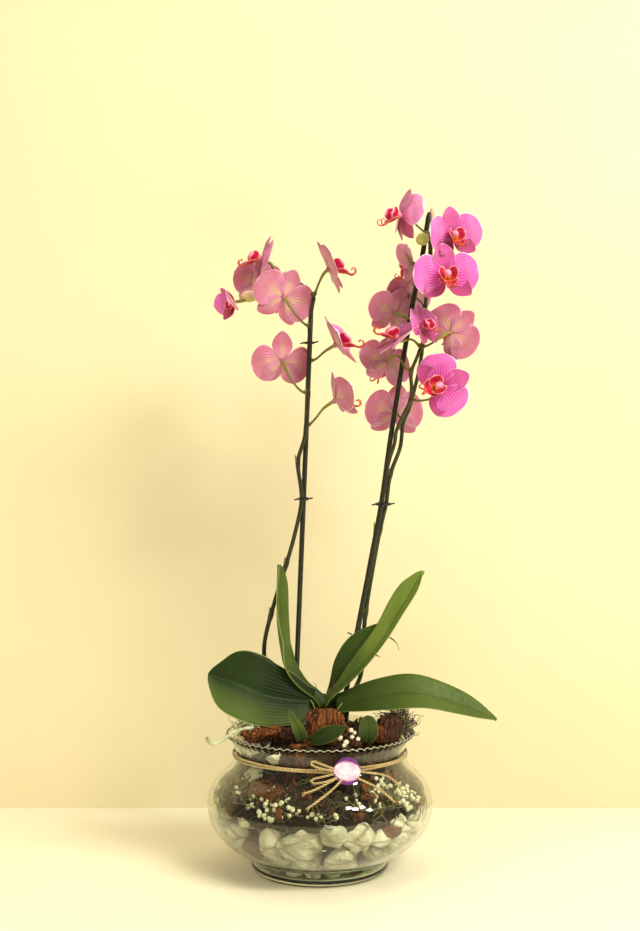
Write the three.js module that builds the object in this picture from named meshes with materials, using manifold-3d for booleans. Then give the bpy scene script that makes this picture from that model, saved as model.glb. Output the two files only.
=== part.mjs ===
// A moth orchid planted in a squat clear glass bowl with a crimped rim. Millimetres, +Z up, +Y to the back.
// The origin is the centre of the bowl's flat underside.
import * as THREE from "three";
import { mergeVertices } from "three/addons/utils/BufferGeometryUtils.js";
import Module from "manifold-3d";

const wasm = await Module();
wasm.setup();

// ---- Driving dimensions ----
const GAP = 0.3; // clearance kept between any two pieces
const TIDY = 0.12; // detail smaller than this is left out of a mesh
const BOWL_RADIUS = 112.3; // widest part of the belly
const BELLY_Z = 67; // height of the widest part
const BELLY_UNDER = 67; // vertical half-axis of the belly below its widest part
const BELLY_OVER = 59; // and above it
const BELLY_TOP_Z = 102; // where the belly turns into the neck
const FOOT_RADIUS = 64; // flat face that rests on the table
const FOOT_BULGE = 4.8; // how far the foot's roll stands out past the flat face
const WAIST_Z = 14.5;
const NECK_RADIUS = 84;
const NECK_Z = 115;
const RIM_RADIUS = 93.5;
const RIM_RISE = 22.4; // rim above the neck
const GLASS = 3.6; // wall of the bowl
const BASE_GLASS = 5.5; // floor of the bowl
const SCALLOPS = 76; // crimps round the rim
const SCALLOP_DEPTH = 1.5;
const FILL_GAP = 1.2; // space between the glass and what fills the bowl
const BED_TOP_Z = 60; // top of the gravel behind the big stones
const MIX_GAP = 9.7; // planting mix to the belly's inner wall
const MIX_NECK_GAP = 3.4; // planting mix to the neck's inner wall
const MOUND_Z = 146; // top of the planting mix, under the crown
const HEAD_RADIUS = 2.4; // a dried blossom
const GAP_FLOOR_Z = 119; // floor of the watering gap at the back
const GAP_HALF = 36; // half the width of the watering gap
const GAP_FRONT_Y = 44; // front wall of the watering gap
const STAKE_RADIUS = 2.6;
const SPIKE_RADIUS = 2.1;
const PEDICEL_RADIUS = 1.15;
const LEAF_THICKNESS = 2.2;
const PETAL_THICKNESS = 1.5;
const TWINE_RADIUS = 1.1;
const BAND_Z = 116.5;
const KNOT_TURN = -73; // degrees round the neck from +X
const LABEL_RADIUS = 13;
const LABEL_THICKNESS = 1.2;
const RIM_Z = NECK_Z + RIM_RISE;

// ---- Materials ----
const paint = (color, roughness, metalness = 0) =>
  new THREE.MeshStandardMaterial({ color, roughness, metalness });
const clearGlass = paint(0xcfd8c4, 0.05);
clearGlass.transparent = true;
clearGlass.opacity = 0.35;
const looks = {
  glass: clearGlass,
  mix: paint(0x2b2218, 0.95),
  gravel: paint(0xb9b7a0, 0.7),
  paleStone: paint(0xd9d4bd, 0.65),
  greyStone: paint(0xa3a892, 0.65),
  bark: paint(0x7d4726, 0.9),
  moss: paint(0x4a3a22, 0.95),
  root: paint(0xb9c4a0, 0.6),
  leaf: paint(0x3f6f2a, 0.4),
  spike: paint(0x3a3a1e, 0.5),
  stake: paint(0x16180f, 0.45),
  clip: paint(0x111111, 0.4),
  petal: paint(0xd884b4, 0.6),
  twine: paint(0xc39a4e, 0.9),
  label: paint(0xe8dcea, 0.6),
  blossom: paint(0xe9e4c8, 0.8),
};

// ---- Small tools ----
const V = (x, y, z) => new THREE.Vector3(x, y, z);
const at = ([x, y, z]) => V(x, y, z);
const TURN = 2 * Math.PI;

// A repeatable number from 0 to 1 for each whole number.
function chance(n) {
  const s = Math.sin(n * 127.1 + 311.7) * 43758.5453;
  return s - Math.floor(s);
}

function solidOf(geometry) {
  geometry.deleteAttribute("normal");
  geometry.deleteAttribute("uv");
  const g = mergeVertices(geometry, 1e-4);
  return new wasm.Manifold(
    new wasm.Mesh({
      numProp: 3,
      vertProperties: new Float32Array(g.attributes.position.array),
      triVerts: new Uint32Array(g.index.array),
    }),
  );
}

// A closed solid through rings of points. A ring of one point is a tip, and a ring may have twice or half the
// points of the one before.
function loft(rings) {
  const points = rings.flat();
  const starts = rings.map((_, i) => rings.slice(0, i).flat().length);
  const faces = [];
  const cap = (start, ring, flip) => {
    if (ring.length === 1) return;
    const middle = ring.reduce((sum, p) => sum.add(p), V(0, 0, 0)).divideScalar(ring.length);
    points.push(middle);
    ring.forEach((_, k) => {
      const a = start + k;
      const b = start + ((k + 1) % ring.length);
      faces.push(flip ? [points.length - 1, b, a] : [points.length - 1, a, b]);
    });
  };
  cap(starts[0], rings[0], true);
  for (let i = 0; i + 1 < rings.length; i++) {
    const [n, m] = [rings[i].length, rings[i + 1].length];
    const low = (k) => starts[i] + (n === 1 ? 0 : k % n);
    const high = (k) => starts[i + 1] + (m === 1 ? 0 : k % m);
    for (let k = 0; k < Math.max(Math.min(n, m), n === 1 || m === 1 ? n * m : 0); k++) {
      if (m === 1) faces.push([low(k), low(k + 1), high(0)]);
      else if (n === 1) faces.push([low(0), high(k + 1), high(k)]);
      else if (m === n) faces.push([low(k), low(k + 1), high(k + 1)], [low(k), high(k + 1), high(k)]);
      else if (m === 2 * n)
        faces.push(
          [low(k), low(k + 1), high(2 * k + 1)],
          [low(k), high(2 * k + 1), high(2 * k)],
          [low(k + 1), high(2 * k + 2), high(2 * k + 1)],
        );
      else
        faces.push(
          [high(k), low(2 * k), low(2 * k + 1)],
          [high(k), low(2 * k + 1), high(k + 1)],
          [high(k + 1), low(2 * k + 1), low(2 * k + 2)],
        );
    }
  }
  cap(starts.at(-1), rings.at(-1), false);
  const build = (list) => {
    const g = new THREE.BufferGeometry();
    g.setAttribute("position", new THREE.Float32BufferAttribute(points.flatMap((p) => [p.x, p.y, p.z]), 3));
    g.setIndex(list.flat());
    return solidOf(g);
  };
  const made = build(faces);
  return made.volume() > 0 ? made : build(faces.map(([a, b, c]) => [a, c, b]));
}

// Evenly spaced places on a smooth line through the points, with the line's direction at each.
function along(points, count) {
  const curve = new THREE.CatmullRomCurve3(points.map(at), false, "centripetal");
  return Array.from({ length: count }, (_, i) => {
    const t = i / (count - 1);
    return { t, p: curve.getPointAt(t), d: curve.getTangentAt(t) };
  });
}

// A round stem along a line. thick(t) is its radius from its start (t = 0) to its end (t = 1).
function stem(points, thick, count, sides = 8) {
  let across = V(1, 0.13, 0.07);
  const rings = along(points, count).map(({ t, p, d }) => {
    across = across.clone().addScaledVector(d, -across.dot(d)).normalize();
    const up = d.clone().cross(across);
    return Array.from({ length: sides }, (_, k) => {
      const a = (TURN * k) / sides;
      return p
        .clone()
        .addScaledVector(across, thick(t) * Math.cos(a))
        .addScaledVector(up, thick(t) * Math.sin(a));
    });
  });
  return loft(rings);
}

// A cord: a round section carried along its route.
function cord(points, radius) {
  const section = new THREE.Shape();
  section.absarc(0, 0, radius, 0, TURN);
  const route = new THREE.CatmullRomCurve3(points.map(at), false, "centripetal");
  return solidOf(
    new THREE.ExtrudeGeometry(section, {
      steps: points.length,
      extrudePath: route,
      curveSegments: 8,
      bevelEnabled: false,
    }),
  );
}

// A lumpy stone of three half-sizes, turned by a seed.
function pebble(place, half, seed, extra = 0, detail = 1) {
  const g = new THREE.IcosahedronGeometry(1, detail);
  g.deleteAttribute("normal");
  g.deleteAttribute("uv");
  const round = mergeVertices(g, 1e-4);
  const tilt = (n) => 0.7 * chance(n) - 0.35;
  const spin = new THREE.Euler(tilt(seed), tilt(seed + 1), chance(seed + 2) * TURN);
  const p = round.attributes.position;
  for (let i = 0; i < p.count; i++) {
    const v = V(p.getX(i), p.getY(i), p.getZ(i)).multiplyScalar(0.86 + 0.2 * chance(seed * 7 + i));
    v.applyEuler(spin);
    const grown = v.clone().normalize().multiplyScalar(extra * 1.4);
    v.set(v.x * half[0], v.y * half[1], v.z * half[2]).add(grown).add(at(place));
    p.setXYZ(i, v.x, v.y, v.z);
  }
  return solidOf(round);
}

const ball = (place, radius, detail = 1) =>
  solidOf(new THREE.IcosahedronGeometry(radius, detail).translate(...place));
const join = (list) => wasm.Manifold.union(list);

function turned(profile, segments = SCALLOPS) {
  return loft(profile.map(([r, z]) => (r === 0 ? [V(0, 0, z)] : ring(r, z, segments))));
}

function ring(r, z, n) {
  return Array.from({ length: n }, (_, k) =>
    V(r * Math.cos((TURN * k) / n), r * Math.sin((TURN * k) / n), z),
  );
}

// ---- The bowl ----
// Radius of the belly's outside at a height.
function bellyRadius(z) {
  const half = z < BELLY_Z ? BELLY_UNDER : BELLY_OVER;
  return BOWL_RADIUS * Math.sqrt(1 - ((z - BELLY_Z) / half) ** 2);
}

// The outside of the bowl from the belly's foot to the rim, as radius and height.
function outside() {
  const shoulder = bellyRadius(BELLY_TOP_Z);
  const belly = [0.03, 0.13, 0.3, 0.5, 0.68, 0.84, 1].map((t) => {
    const z = WAIST_Z + 1.5 + t * (BELLY_TOP_Z - WAIST_Z - 1.5);
    return [bellyRadius(z), z];
  });
  const swing = RIM_RADIUS - NECK_RADIUS;
  return [
    ...belly,
    [(shoulder + 2 * NECK_RADIUS) / 3 + 0.5, NECK_Z - 7],
    [NECK_RADIUS + 0.7, NECK_Z - 3.5],
    [NECK_RADIUS, NECK_Z],
    [NECK_RADIUS + 0.16 * swing, NECK_Z + 0.34 * (RIM_Z - NECK_Z)],
    [NECK_RADIUS + 0.5 * swing, NECK_Z + 0.7 * (RIM_Z - NECK_Z)],
  ];
}

// The same line moved inwards by a distance, square to the glass.
function inside(distance) {
  const line = outside();
  return line.map(([r, z], i) => {
    const [r0, z0] = line[Math.max(i - 1, 0)];
    const [r1, z1] = line[Math.min(i + 1, line.length - 1)];
    const long = Math.hypot(r1 - r0, z1 - z0);
    return [r - (distance * (z1 - z0)) / long, z + (distance * (r1 - r0)) / long];
  });
}

// Radius of the glass's inner wall at a height.
function innerRadius(z) {
  const wall = inside(GLASS);
  const i = wall.findIndex(([, high]) => high >= z);
  const [[r0, z0], [r1, z1]] = [wall[Math.max(i - 1, 0)], wall[i < 0 ? wall.length - 1 : i]];
  return z1 === z0 ? r1 : r0 + ((r1 - r0) * (z - z0)) / (z1 - z0);
}

// A point at a turn in degrees round the bowl, a distance in from the glass, at a height.
function offGlass(turn, z, distance) {
  const a = THREE.MathUtils.degToRad(turn);
  const r = innerRadius(z) - distance;
  return [r * Math.cos(a), r * Math.sin(a), z];
}

// A point in the bowl's mouth: a turn, a distance in from the neck, and a rise above the rim.
function inMouth(turn, distance, rise) {
  const a = THREE.MathUtils.degToRad(turn);
  const r = NECK_RADIUS - distance;
  return [r * Math.cos(a), r * Math.sin(a), RIM_Z + rise];
}

function crimped(r, z) {
  return ring(r, z, 2 * SCALLOPS).map((p, k) => p.setZ(z - (k % 2 ? SCALLOP_DEPTH : 0)));
}

function bowl(extra) {
  const foot = FOOT_RADIUS + extra;
  const footInside = FOOT_RADIUS - GLASS - extra;
  const outer = extra ? inside(-extra) : outside();
  const inner = inside(GLASS + extra);
  const lip = RIM_Z + extra;
  const plain = ([r, z]) => ring(r, z, SCALLOPS / 2);
  const fine = ([r, z]) => ring(r, z, SCALLOPS);
  return loft([
    [V(0, 0, -extra)],
    plain([foot, -extra]),
    plain([foot + 0.75 * FOOT_BULGE, 3]),
    plain([foot + FOOT_BULGE, 7]),
    plain([foot + 0.6 * FOOT_BULGE, 11.5]),
    plain([foot - 1, WAIST_Z]),
    ...outer.slice(0, -1).map(plain),
    fine(outer.at(-1)),
    crimped(RIM_RADIUS + extra, lip - 0.8),
    crimped(RIM_RADIUS - 0.6 * GLASS - extra, lip),
    fine(inner.at(-1)),
    ...inner.slice(0, -1).reverse().map(plain),
    plain([footInside - 1.2, WAIST_Z - 1 + extra]),
    plain([footInside, 0.6 * WAIST_Z]),
    plain([footInside - 3, BASE_GLASS + extra]),
    [V(0, 0, BASE_GLASS + extra)],
  ]);
}

// All the space inside the glass, kept a distance away from it.
function cavity(distance) {
  const footInside = FOOT_RADIUS - GLASS - distance;
  const floor = BASE_GLASS + distance;
  const walls = inside(GLASS + distance).filter(([, z]) => z > WAIST_Z + 4);
  const top = walls.at(-1);
  return turned([
    [0, floor],
    [footInside - 3, floor],
    [footInside, Math.max(0.6 * WAIST_Z, floor + 1)],
    [footInside - 1.2, WAIST_Z - 1],
    ...walls,
    [top[0], top[1] + 40],
    [0, top[1] + 40],
  ], 36);
}

// ---- Leaves ----
// A blade along its midrib, with its half-widths and the directions of its right edge along the way.
function blade({ rib, half, edge, fold = 0.16 }, extra) {
  const edges = edge.map((e) => at(e).normalize());
  const stations = along(rib, 9);
  const rings = stations.map(({ t, p, d }) => {
    const f = t * (half.length - 1);
    const i = Math.min(Math.floor(f), half.length - 2);
    const w = half[i] + (half[i + 1] - half[i]) * (f - i) + extra;
    const g = t * (edges.length - 1);
    const j = Math.min(Math.floor(g), edges.length - 2);
    const side = edges[j].clone().lerp(edges[j + 1], g - j);
    side.addScaledVector(d, -side.dot(d)).normalize();
    const face = side.clone().cross(d);
    const body = LEAF_THICKNESS / 2 + extra;
    const edgeBody = 0.35 + extra;
    const spot = (across, lift, body_) =>
      p.clone().addScaledVector(side, across * w).addScaledVector(face, Math.abs(lift) * fold * w + body_);
    return [
      spot(-1, 1, edgeBody),
      spot(-0.5, 0.45, body),
      spot(0, 0, body),
      spot(0.5, 0.45, body),
      spot(1, 1, edgeBody),
      spot(1, 1, -edgeBody),
      spot(0.5, 0.45, -body),
      spot(0, 0, -body),
      spot(-0.5, 0.45, -body),
      spot(-1, 1, -edgeBody),
    ];
  });
  return loft(rings);
}

const leaves = {
  leaf_broad_left: {
    rib: [
      [-6, -8, 168], [-30, -16, 171], [-54, -20, 176], [-80, -22, 187], [-100, -22, 194], [-110, -22, 198],
    ],
    half: [12, 25, 32, 34, 24, 6],
    edge: [[0.1, 0.45, 0.88], [0.1, 0.45, 0.88]],
    fold: 0.1,
  },
  leaf_upright_left: {
    rib: [
      [-1, -3, 170], [-19, -5, 184], [-32, -4, 200], [-37, 0, 221], [-40.5, 4, 248], [-41, 5, 277],
      [-40, 5, 303],
    ],
    half: [9, 13, 15, 15, 14, 13, 6],
    edge: [[0.62, 0.7, 0.3], [0.5, 0.85, 0.1], [0.15, 1, 0], [0.4, 0.9, 0], [0.48, 0.88, 0]],
  },
  leaf_upright_right: {
    rib: [
      [10, -4, 171], [25, -9, 186], [47, -13, 210], [65, -14, 235], [80, -13, 261],
      [93.5, -11, 282], [102, -8, 298],
    ],
    half: [8, 14, 17, 17, 17, 15, 7],
    edge: [[-0.3, 0.93, 0.2], [-0.35, 0.9, 0.3]],
    fold: 0.12,
  },
  leaf_behind_right: {
    rib: [[13, 11, 176], [24, 12, 199], [38, 12, 219], [54, 11, 234], [66, 10, 246]],
    half: [7, 12, 13, 9, 1],
    edge: [[-0.7, 0.35, 0.6], [-0.6, 0.4, 0.7]],
    fold: 0.1,
  },
  leaf_arching_right: {
    rib: [[16, -10, 165], [38, -14, 170], [66, -15, 175], [96, -14, 177], [134, -11, 167], [176, -8, 150]],
    half: [11, 17, 20, 18, 13, 4],
    edge: [[0.03, 0.62, 0.78], [0.05, 0.7, 0.7]],
    fold: 0.14,
  },
  leaf_small_left: {
    rib: [[-17, -62, 141], [-20, -64, 150], [-25, -65, 160], [-30, -65, 171]],
    half: [5.5, 5.8, 3.8, 0.8],
    edge: [[0.95, 0.1, 0.35], [0.95, 0.1, 0.35]],
  },
  leaf_small_front: {
    rib: [[-9, -65, 140.5], [3, -68, 145], [15, -69, 150], [26, -68, 155]],
    half: [4, 7.5, 7, 1],
    edge: [[-0.35, 0.45, 0.85], [-0.35, 0.45, 0.85]],
  },
  leaf_small_right: {
    rib: [[45, -60, 138], [46, -62, 147], [46, -62, 156], [45, -61, 164]],
    half: [6, 8.5, 8.5, 3],
    edge: [[1, 0.1, 0], [1, 0.1, 0]],
  },
};

// ---- Flowers ----
// at is the middle, face the way it looks, up the way its top sepal points, size its full width.
const flowers = {
  flower_left_1: { at: [-59, 16, 611], face: [-0.92, -0.24, 0.32], up: [0.35, 0, 1], size: 52 },
  flower_left_2: { at: [-62, 38, 590], face: [-0.45, 0.85, 0.2], up: [0.1, 0, 1], size: 54 },
  flower_left_3: { at: [-86, 10, 567], face: [-0.72, -0.5, -0.35], up: [-0.3, 0, 1], size: 38 },
  flower_left_4: { at: [-36, -4, 570], face: [-0.25, 0.95, 0.1], up: [0.42, 0, 1], size: 60 },
  flower_left_5: { at: [9, -4, 598], face: [0.84, 0.22, 0.42], up: [-0.3, 0, 1], size: 58 },
  flower_left_6: { at: [16, -6, 523], face: [0.8, -0.24, 0.46], up: [-0.3, 0, 1], size: 60 },
  flower_left_7: { at: [15, -2, 467], face: [0.86, 0.2, 0.4], up: [-0.3, 0, 1], size: 56 },
  flower_left_8: { at: [-38, 12, 508], face: [-0.2, 0.95, 0.15], up: [0.05, 0, 1], size: 58 },
  flower_right_1: { at: [81, -2, 652], face: [-0.76, -0.6, 0.1], up: [0.02, 0, 1], size: 56 },
  flower_right_2: { at: [130, -18, 629], face: [0.35, -0.92, 0.02], up: [-0.16, 0, 1], size: 56 },
  flower_right_3: { at: [123, -32, 588], face: [0.1, -0.99, 0.05], up: [-0.06, 0, 1], size: 62 },
  flower_right_4: { at: [94, 18, 607], face: [-0.86, 0.4, -0.2], up: [0.35, 0, 1], size: 48 },
  flower_right_5: { at: [92, 36, 577], face: [-0.35, 0.93, 0.1], up: [0.1, 0, 1], size: 48 },
  flower_right_6: { at: [75, 22, 557], face: [-0.4, 0.9, 0.15], up: [0.3, 0, 1], size: 52 },
  flower_right_7: { at: [77, -16, 527], face: [-0.6, -0.22, 0.77], up: [0.8, 0, 0.6], size: 56 },
  flower_right_8: { at: [68, 26, 508], face: [-0.45, 0.8, -0.3], up: [0.3, 0, 0.9], size: 58 },
  flower_right_9: { at: [77, 34, 456], face: [-0.15, 0.97, 0.1], up: [0.1, 0, 1], size: 60 },
  flower_right_10: { at: [131, 6, 536], face: [0.3, 0.93, -0.1], up: [0.75, 0, 0.65], size: 60 },
  flower_right_11: { at: [101, -12, 540], face: [0.72, -0.6, 0.3], up: [-0.15, 0, 1], size: 46 },
  flower_right_12: { at: [118, -26, 480], face: [-0.3, -0.93, 0.05], up: [0.9, 0, 0.36], size: 62 },
};

// How a flower's five outer parts sit: turn from the top, with length, half-width and lift as shares
// of its size.
const outerParts = [
  { turn: 0, long: 0.5, half: 0.15, lift: -0.02 },
  { turn: 74, long: 0.5, half: 0.24, lift: 0.022 },
  { turn: -74, long: 0.5, half: 0.24, lift: 0.022 },
  { turn: 140, long: 0.48, half: 0.14, lift: -0.02 },
  { turn: -140, long: 0.48, half: 0.14, lift: -0.02 },
];
const PETAL_START = 0.05; // where a petal leaves the middle, as a share of the flower's size

function flowerFrame({ face, up }) {
  const f = at(face).normalize();
  const u = at(up);
  u.addScaledVector(f, -u.dot(f)).normalize();
  return { f, u, r: f.clone().cross(u).negate() };
}

// Where the flower's stalk meets its back.
function flowerBack(flower) {
  const { f } = flowerFrame(flower);
  return at(flower.at).addScaledVector(f, -(0.07 * flower.size + 1 + 2 * GAP));
}

function petal(flower, { turn, long, half, lift }, extra) {
  const { f, u, r } = flowerFrame(flower);
  const a = THREE.MathUtils.degToRad(turn);
  const out = u.clone().multiplyScalar(Math.cos(a)).addScaledVector(r, Math.sin(a));
  const side = out.clone().cross(f);
  const place = (x, y, rise) =>
    at(flower.at)
      .addScaledVector(out, x * flower.size)
      .addScaledVector(side, y * flower.size)
      .addScaledVector(f, rise + lift * flower.size);
  const outline = Array.from({ length: 8 }, (_, k) => {
    const b = (TURN * k) / 8;
    const grow = 1 + extra / (half * flower.size);
    const x = (long + PETAL_START) / 2 + ((long - PETAL_START) / 2) * grow * Math.cos(b);
    return place(x, half * grow * Math.sin(b), 0.05 * flower.size * (x / long) ** 2);
  });
  const body = PETAL_THICKNESS / 2 + 1.2 * extra;
  const thickest = long * 0.45;
  return loft([[place(thickest, 0, body)], outline, [place(thickest, 0, -body)]]);
}

function bloom(flower, extra) {
  const { f, u } = flowerFrame(flower);
  const spot = (forward, upward) =>
    at(flower.at)
      .addScaledVector(f, forward * flower.size)
      .addScaledVector(u, upward * flower.size)
      .toArray();
  return join([
    ...outerParts.map((part) => petal(flower, part, extra)),
    ball(spot(0, 0), 0.085 * flower.size + extra, 0),
    stem(
      [spot(0, 0), spot(0.1, -0.06), spot(0.15, -0.16)],
      (t) => (0.04 + 0.06 * t) * flower.size + extra,
      3,
      5,
    ),
  ]);
}

// ---- Flower spikes and stakes ----
const stakes = {
  stake_left: [[-9, 12, 560], [-16.3, 12, 375], [-23.4, 12, 200], [-27.4, 12, 100]],
  stake_right: [
    [110, 10, 657.6], [102, 11, 607], [94, 11.5, 568], [71, 12.5, 429],
    [61.7, 13.5, 362.6], [36.5, 17, 228.4], [24, 20, 160], [12, 24, 100],
  ],
};

// Each stalk runs from the spike to its flower's back, or to a bud.
const spikes = {
  left: {
    line: [
      [-4, 12, 160], [-26, 21, 172], [-49, 22, 190], [-56, 20, 206], [-56, 18, 224], [-47.5, 15, 259],
      [-34, 11, 303],
      [-25, 8, 335], [-18.5, 5.4, 369], [-22, 5, 400], [-21.8, 5, 409], [-15.5, 4.9, 431], [-12.5, 5.6, 460],
      [-11.2, 5.8, 500], [-10, 5.8, 545], [-6, 5, 572],
    ],
    stalks: [
      { to: "flower_left_7", by: [[-12.8, 5, 441], [-5, 3, 449], [4, 1, 460]] },
      { to: "flower_left_8", by: [[-12.4, 5.4, 474], [-20, 0, 478], [-30, -2, 490]] },
      { to: "flower_left_6", by: [[-11, 5.8, 506], [-3, 4, 510], [4, 1, 516]] },
      { to: "flower_left_4", by: [[-10.2, 5.8, 541], [-18, -2, 546], [-27, -11, 556]] },
      { to: "flower_left_5", by: [[-6, 5, 572], [-2, 3, 583], [3, -1, 593]] },
      {
        to: "flower_left_1",
        by: [[-6, 5, 572], [-18, 10, 585], [-33, 14, 592], [-44, 17, 598], [-50, 18, 607]],
      },
      { to: "flower_left_2", by: [[-33, 14, 592], [-46, 22, 590], [-56, 30, 588]] },
      { to: "flower_left_3", by: [[-33, 14, 592], [-52, 19, 583], [-68, 17, 574], [-78, 14, 569]] },
    ],
    buds: [{ place: [-72, 17, 574], half: [7, 5, 7] }, { place: [-35, 13, 596], half: [3.5, 2.5, 2.5] }],
  },
  right_brown: {
    line: [
      [6, 15, 160], [17, 27, 172], [30, 27, 200], [38.5, 26, 232], [49, 23, 295], [57, 21, 337],
      [61.7, 21, 363],
      [67, 20.5, 393], [70, 20, 407], [75.4, 15.6, 425], [76.8, 8, 437], [84.5, 4, 455], [90.8, 3, 468],
      [91.7, 3, 481], [91.3, 3, 496], [96, 2, 508], [101, 2, 520],
    ],
    stalks: [
      { to: "flower_right_12", by: [[90.8, 3, 468], [103, 0, 467.5], [112, -8, 470]] },
      { to: "flower_right_8", by: [[91.3, 3, 496], [85, 5, 502], [80, 12, 512], [77, 18, 514]] },
      { to: "flower_right_7", by: [[101, 2, 520], [94, -2, 527], [89, -7, 528]] },
      { to: "flower_right_11", by: [[101, 2, 520], [105, 0, 528], [108, -3, 534]] },
      { to: "flower_right_10", by: [[101, 2, 520], [111, -4, 524], [121, -5, 531]] },
    ],
    buds: [],
  },
  right_green: {
    line: [
      [12, 8, 158], [28, 11, 168], [37, 20, 179], [42, 22, 192], [45, 21, 238], [46.5, 20.5, 254],
      [60.8, 18.5, 337], [67, 18, 363.5], [71.2, 18, 393], [81, 14, 421], [84.4, 13, 448],
      [88.8, 12, 457], [96, 12, 482], [100, 12, 499], [103, 12, 518], [104.5, 12, 539],
      [106, 12, 559], [108.3, 12, 585], [111, 11, 611], [111, 8, 625], [109.4, 3.6, 633],
    ],
    stalks: [
      { to: "flower_right_9", by: [[84.4, 13, 448], [82, 20, 451], [79, 25, 454]] },
      { to: "flower_right_6", by: [[104.5, 12, 539], [100, 3, 545], [88, 4, 550], [79, 13, 555]] },
      { to: "flower_right_5", by: [[106, 12, 559], [103, 20, 568], [97, 27, 574]] },
      { to: "flower_right_4", by: [[109, 12, 595], [107, 18, 601], [102, 19.5, 605]] },
      { to: "flower_right_3", by: [[108.6, 12, 588], [114, 0, 590], [120, -18, 590]] },
      { to: "flower_right_2", by: [[111, 8, 622], [119, 2, 629], [126, -8, 631]] },
      { to: "flower_right_1", by: [[109.4, 3.6, 633], [100, 1, 640], [90, 1, 649]] },
    ],
    buds: [{ place: [102, -7, 628], half: [6.5, 6.5, 6.5] }, { place: [114, 19, 656], half: [3.6, 3.6, 9] }],
    budStalks: [
      [[109.4, 3.6, 633], [106, -2, 630], [102, -7, 628]],
      [[111, 11, 615], [114, 17, 635], [114, 19, 650]],
    ],
  },
};

function spike({ line, stalks, buds, budStalks = [] }, extra) {
  const main = (t) => SPIKE_RADIUS * (1.1 - 0.25 * t) + extra;
  const thin = () => PEDICEL_RADIUS + extra;
  return join([
    stem(line, main, Math.round(1.4 * line.length), 7),
    ...stalks.map(({ to, by }) => stem([...by, flowerBack(flowers[to]).toArray()], thin, by.length + 2, 5)),
    ...budStalks.map((by) => stem(by, thin, 3, 5)),
    ...buds.map(({ place, half }, i) => pebble(place, half, 90 + i, extra)),
  ]);
}

// A clip: an open collar about a stake and the spike beside it, made as a short round block that they
// pass through.
const clips = {
  clip_left_top: { middle: [-10.8, 9, 526], half: [4.6, 6.6, 2] },
  clip_left_low: { middle: [-16.6, 8.8, 369], half: [4.8, 7, 2.2] },
  clip_right: { middle: [63.8, 17, 363.5], half: [7.2, 8.6, 2.2] },
};

function clip({ middle, half }, extra) {
  const oval = (z) =>
    ring(1, 0, 14).map((p) =>
      V(p.x * (half[0] + extra), p.y * (half[1] + extra), z).add(at(middle)),
    );
  return loft([oval(-half[2] - extra), oval(half[2] + extra)]);
}

// ---- Stones, bark, moss and root ----
const stones = {
  stone_cream: { place: offGlass(-118, 50, 12), half: [12.5, 10, 17], look: "paleStone" },
  stone_green: { place: offGlass(-101, 51, 12), half: [22, 10, 16], look: "greyStone" },
  stone_round: { place: offGlass(-82, 60, 14), half: [13, 10, 13], look: "greyStone" },
  stone_quartz: { place: offGlass(-67, 59, 14), half: [16, 10, 17], look: "paleStone" },
  stone_neck: { place: inMouth(-149, 14, -10), half: [13, 11, 10], look: "paleStone" },
};

function gravel(extra) {
  const heart = [0.45, 0.7, 1].map((share) => share * BED_TOP_Z).map((z) => [innerRadius(z) - 12, z]);
  const core = turned([[0, 0], [FOOT_RADIUS - 16, 0], [FOOT_RADIUS - 16, 16], ...heart, [0, BED_TOP_Z]], 20);
  const ringOf = (count, r, z, half, seed) =>
    Array.from({ length: count }, (_, k) => {
      const a = (TURN * (k + 0.3 * chance(seed + k))) / count;
      const s = 0.85 + 0.35 * chance(seed + 40 + k);
      return pebble([r * Math.cos(a), r * Math.sin(a), z], [half * s, half * s, 0.8 * half * s], seed + k);
    });
  const lumps = join([
    core,
    ...ringOf(7, FOOT_RADIUS - 14, 13, 14, 200),
    ...ringOf(11, innerRadius(37) - 13, 37, 19, 300),
  ]);
  const height = BED_TOP_Z + extra;
  const slab = wasm.Manifold.cube([400, 400, height], true).translate([0, 0, height / 2]);
  return lumps.intersect(cavity(FILL_GAP - extra)).intersect(slab);
}

// A chip of bark: a curved slab, standing or lying.
const barks = {
  bark_front: { middle: inMouth(-85, 27, 13), half: [19, 5, 18], lean: [0.2, 0.06, 0.05] },
  bark_left: { middle: inMouth(-136, 12, 5), half: [22, 9, 6], lean: [0.3, -0.08, 0.35] },
  bark_right: { middle: inMouth(-29, 6.5, 7.5), half: [15, 7, 14], lean: [0.15, 0.2, 0.5] },
};

function chip({ middle, half, lean }, seed, extra) {
  const turn = new THREE.Euler(...lean);
  const [a, b, c] = half.map((h) => h + extra);
  const outline = (y, share) =>
    Array.from({ length: 12 }, (_, k) => {
      const w = (TURN * k) / 12;
      const rough = share * (0.92 + 0.14 * chance(seed + k));
      const [x, z] = [Math.cos(w), Math.sin(w)].map((q) => Math.sign(q) * Math.abs(q) ** 0.65 * rough);
      return V(a * x, y + 0.35 * b * (1 - x * x), c * z).applyEuler(turn).add(at(middle));
    });
  return loft([outline(b, 0.86), outline(0.55 * b, 1), outline(-0.55 * b, 1), outline(-b, 0.82)]);
}

const tufts = {
  moss_left: { place: inMouth(-157, 6, 5.5), half: [13, 13, 7] },
  moss_right: { place: inMouth(-9, 6, 8.5), half: [12, 17, 12] },
};

const rootLine = [
  [-64, -40, 148], [-74, -41, 147], [-84, -41, 143.6], [-91, -41.5, 139], [-98, -42, 134.6],
  [-103.6, -43, 133], [-108.2, -43, 135.6], [-109.6, -43, 140],
];

function root(extra) {
  return stem(rootLine, (t) => 2.1 - 0.7 * t + extra, 18, 8);
}

function crown(extra) {
  return pebble([5, 0, 160], [24, 20, 15], 77, extra);
}

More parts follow.
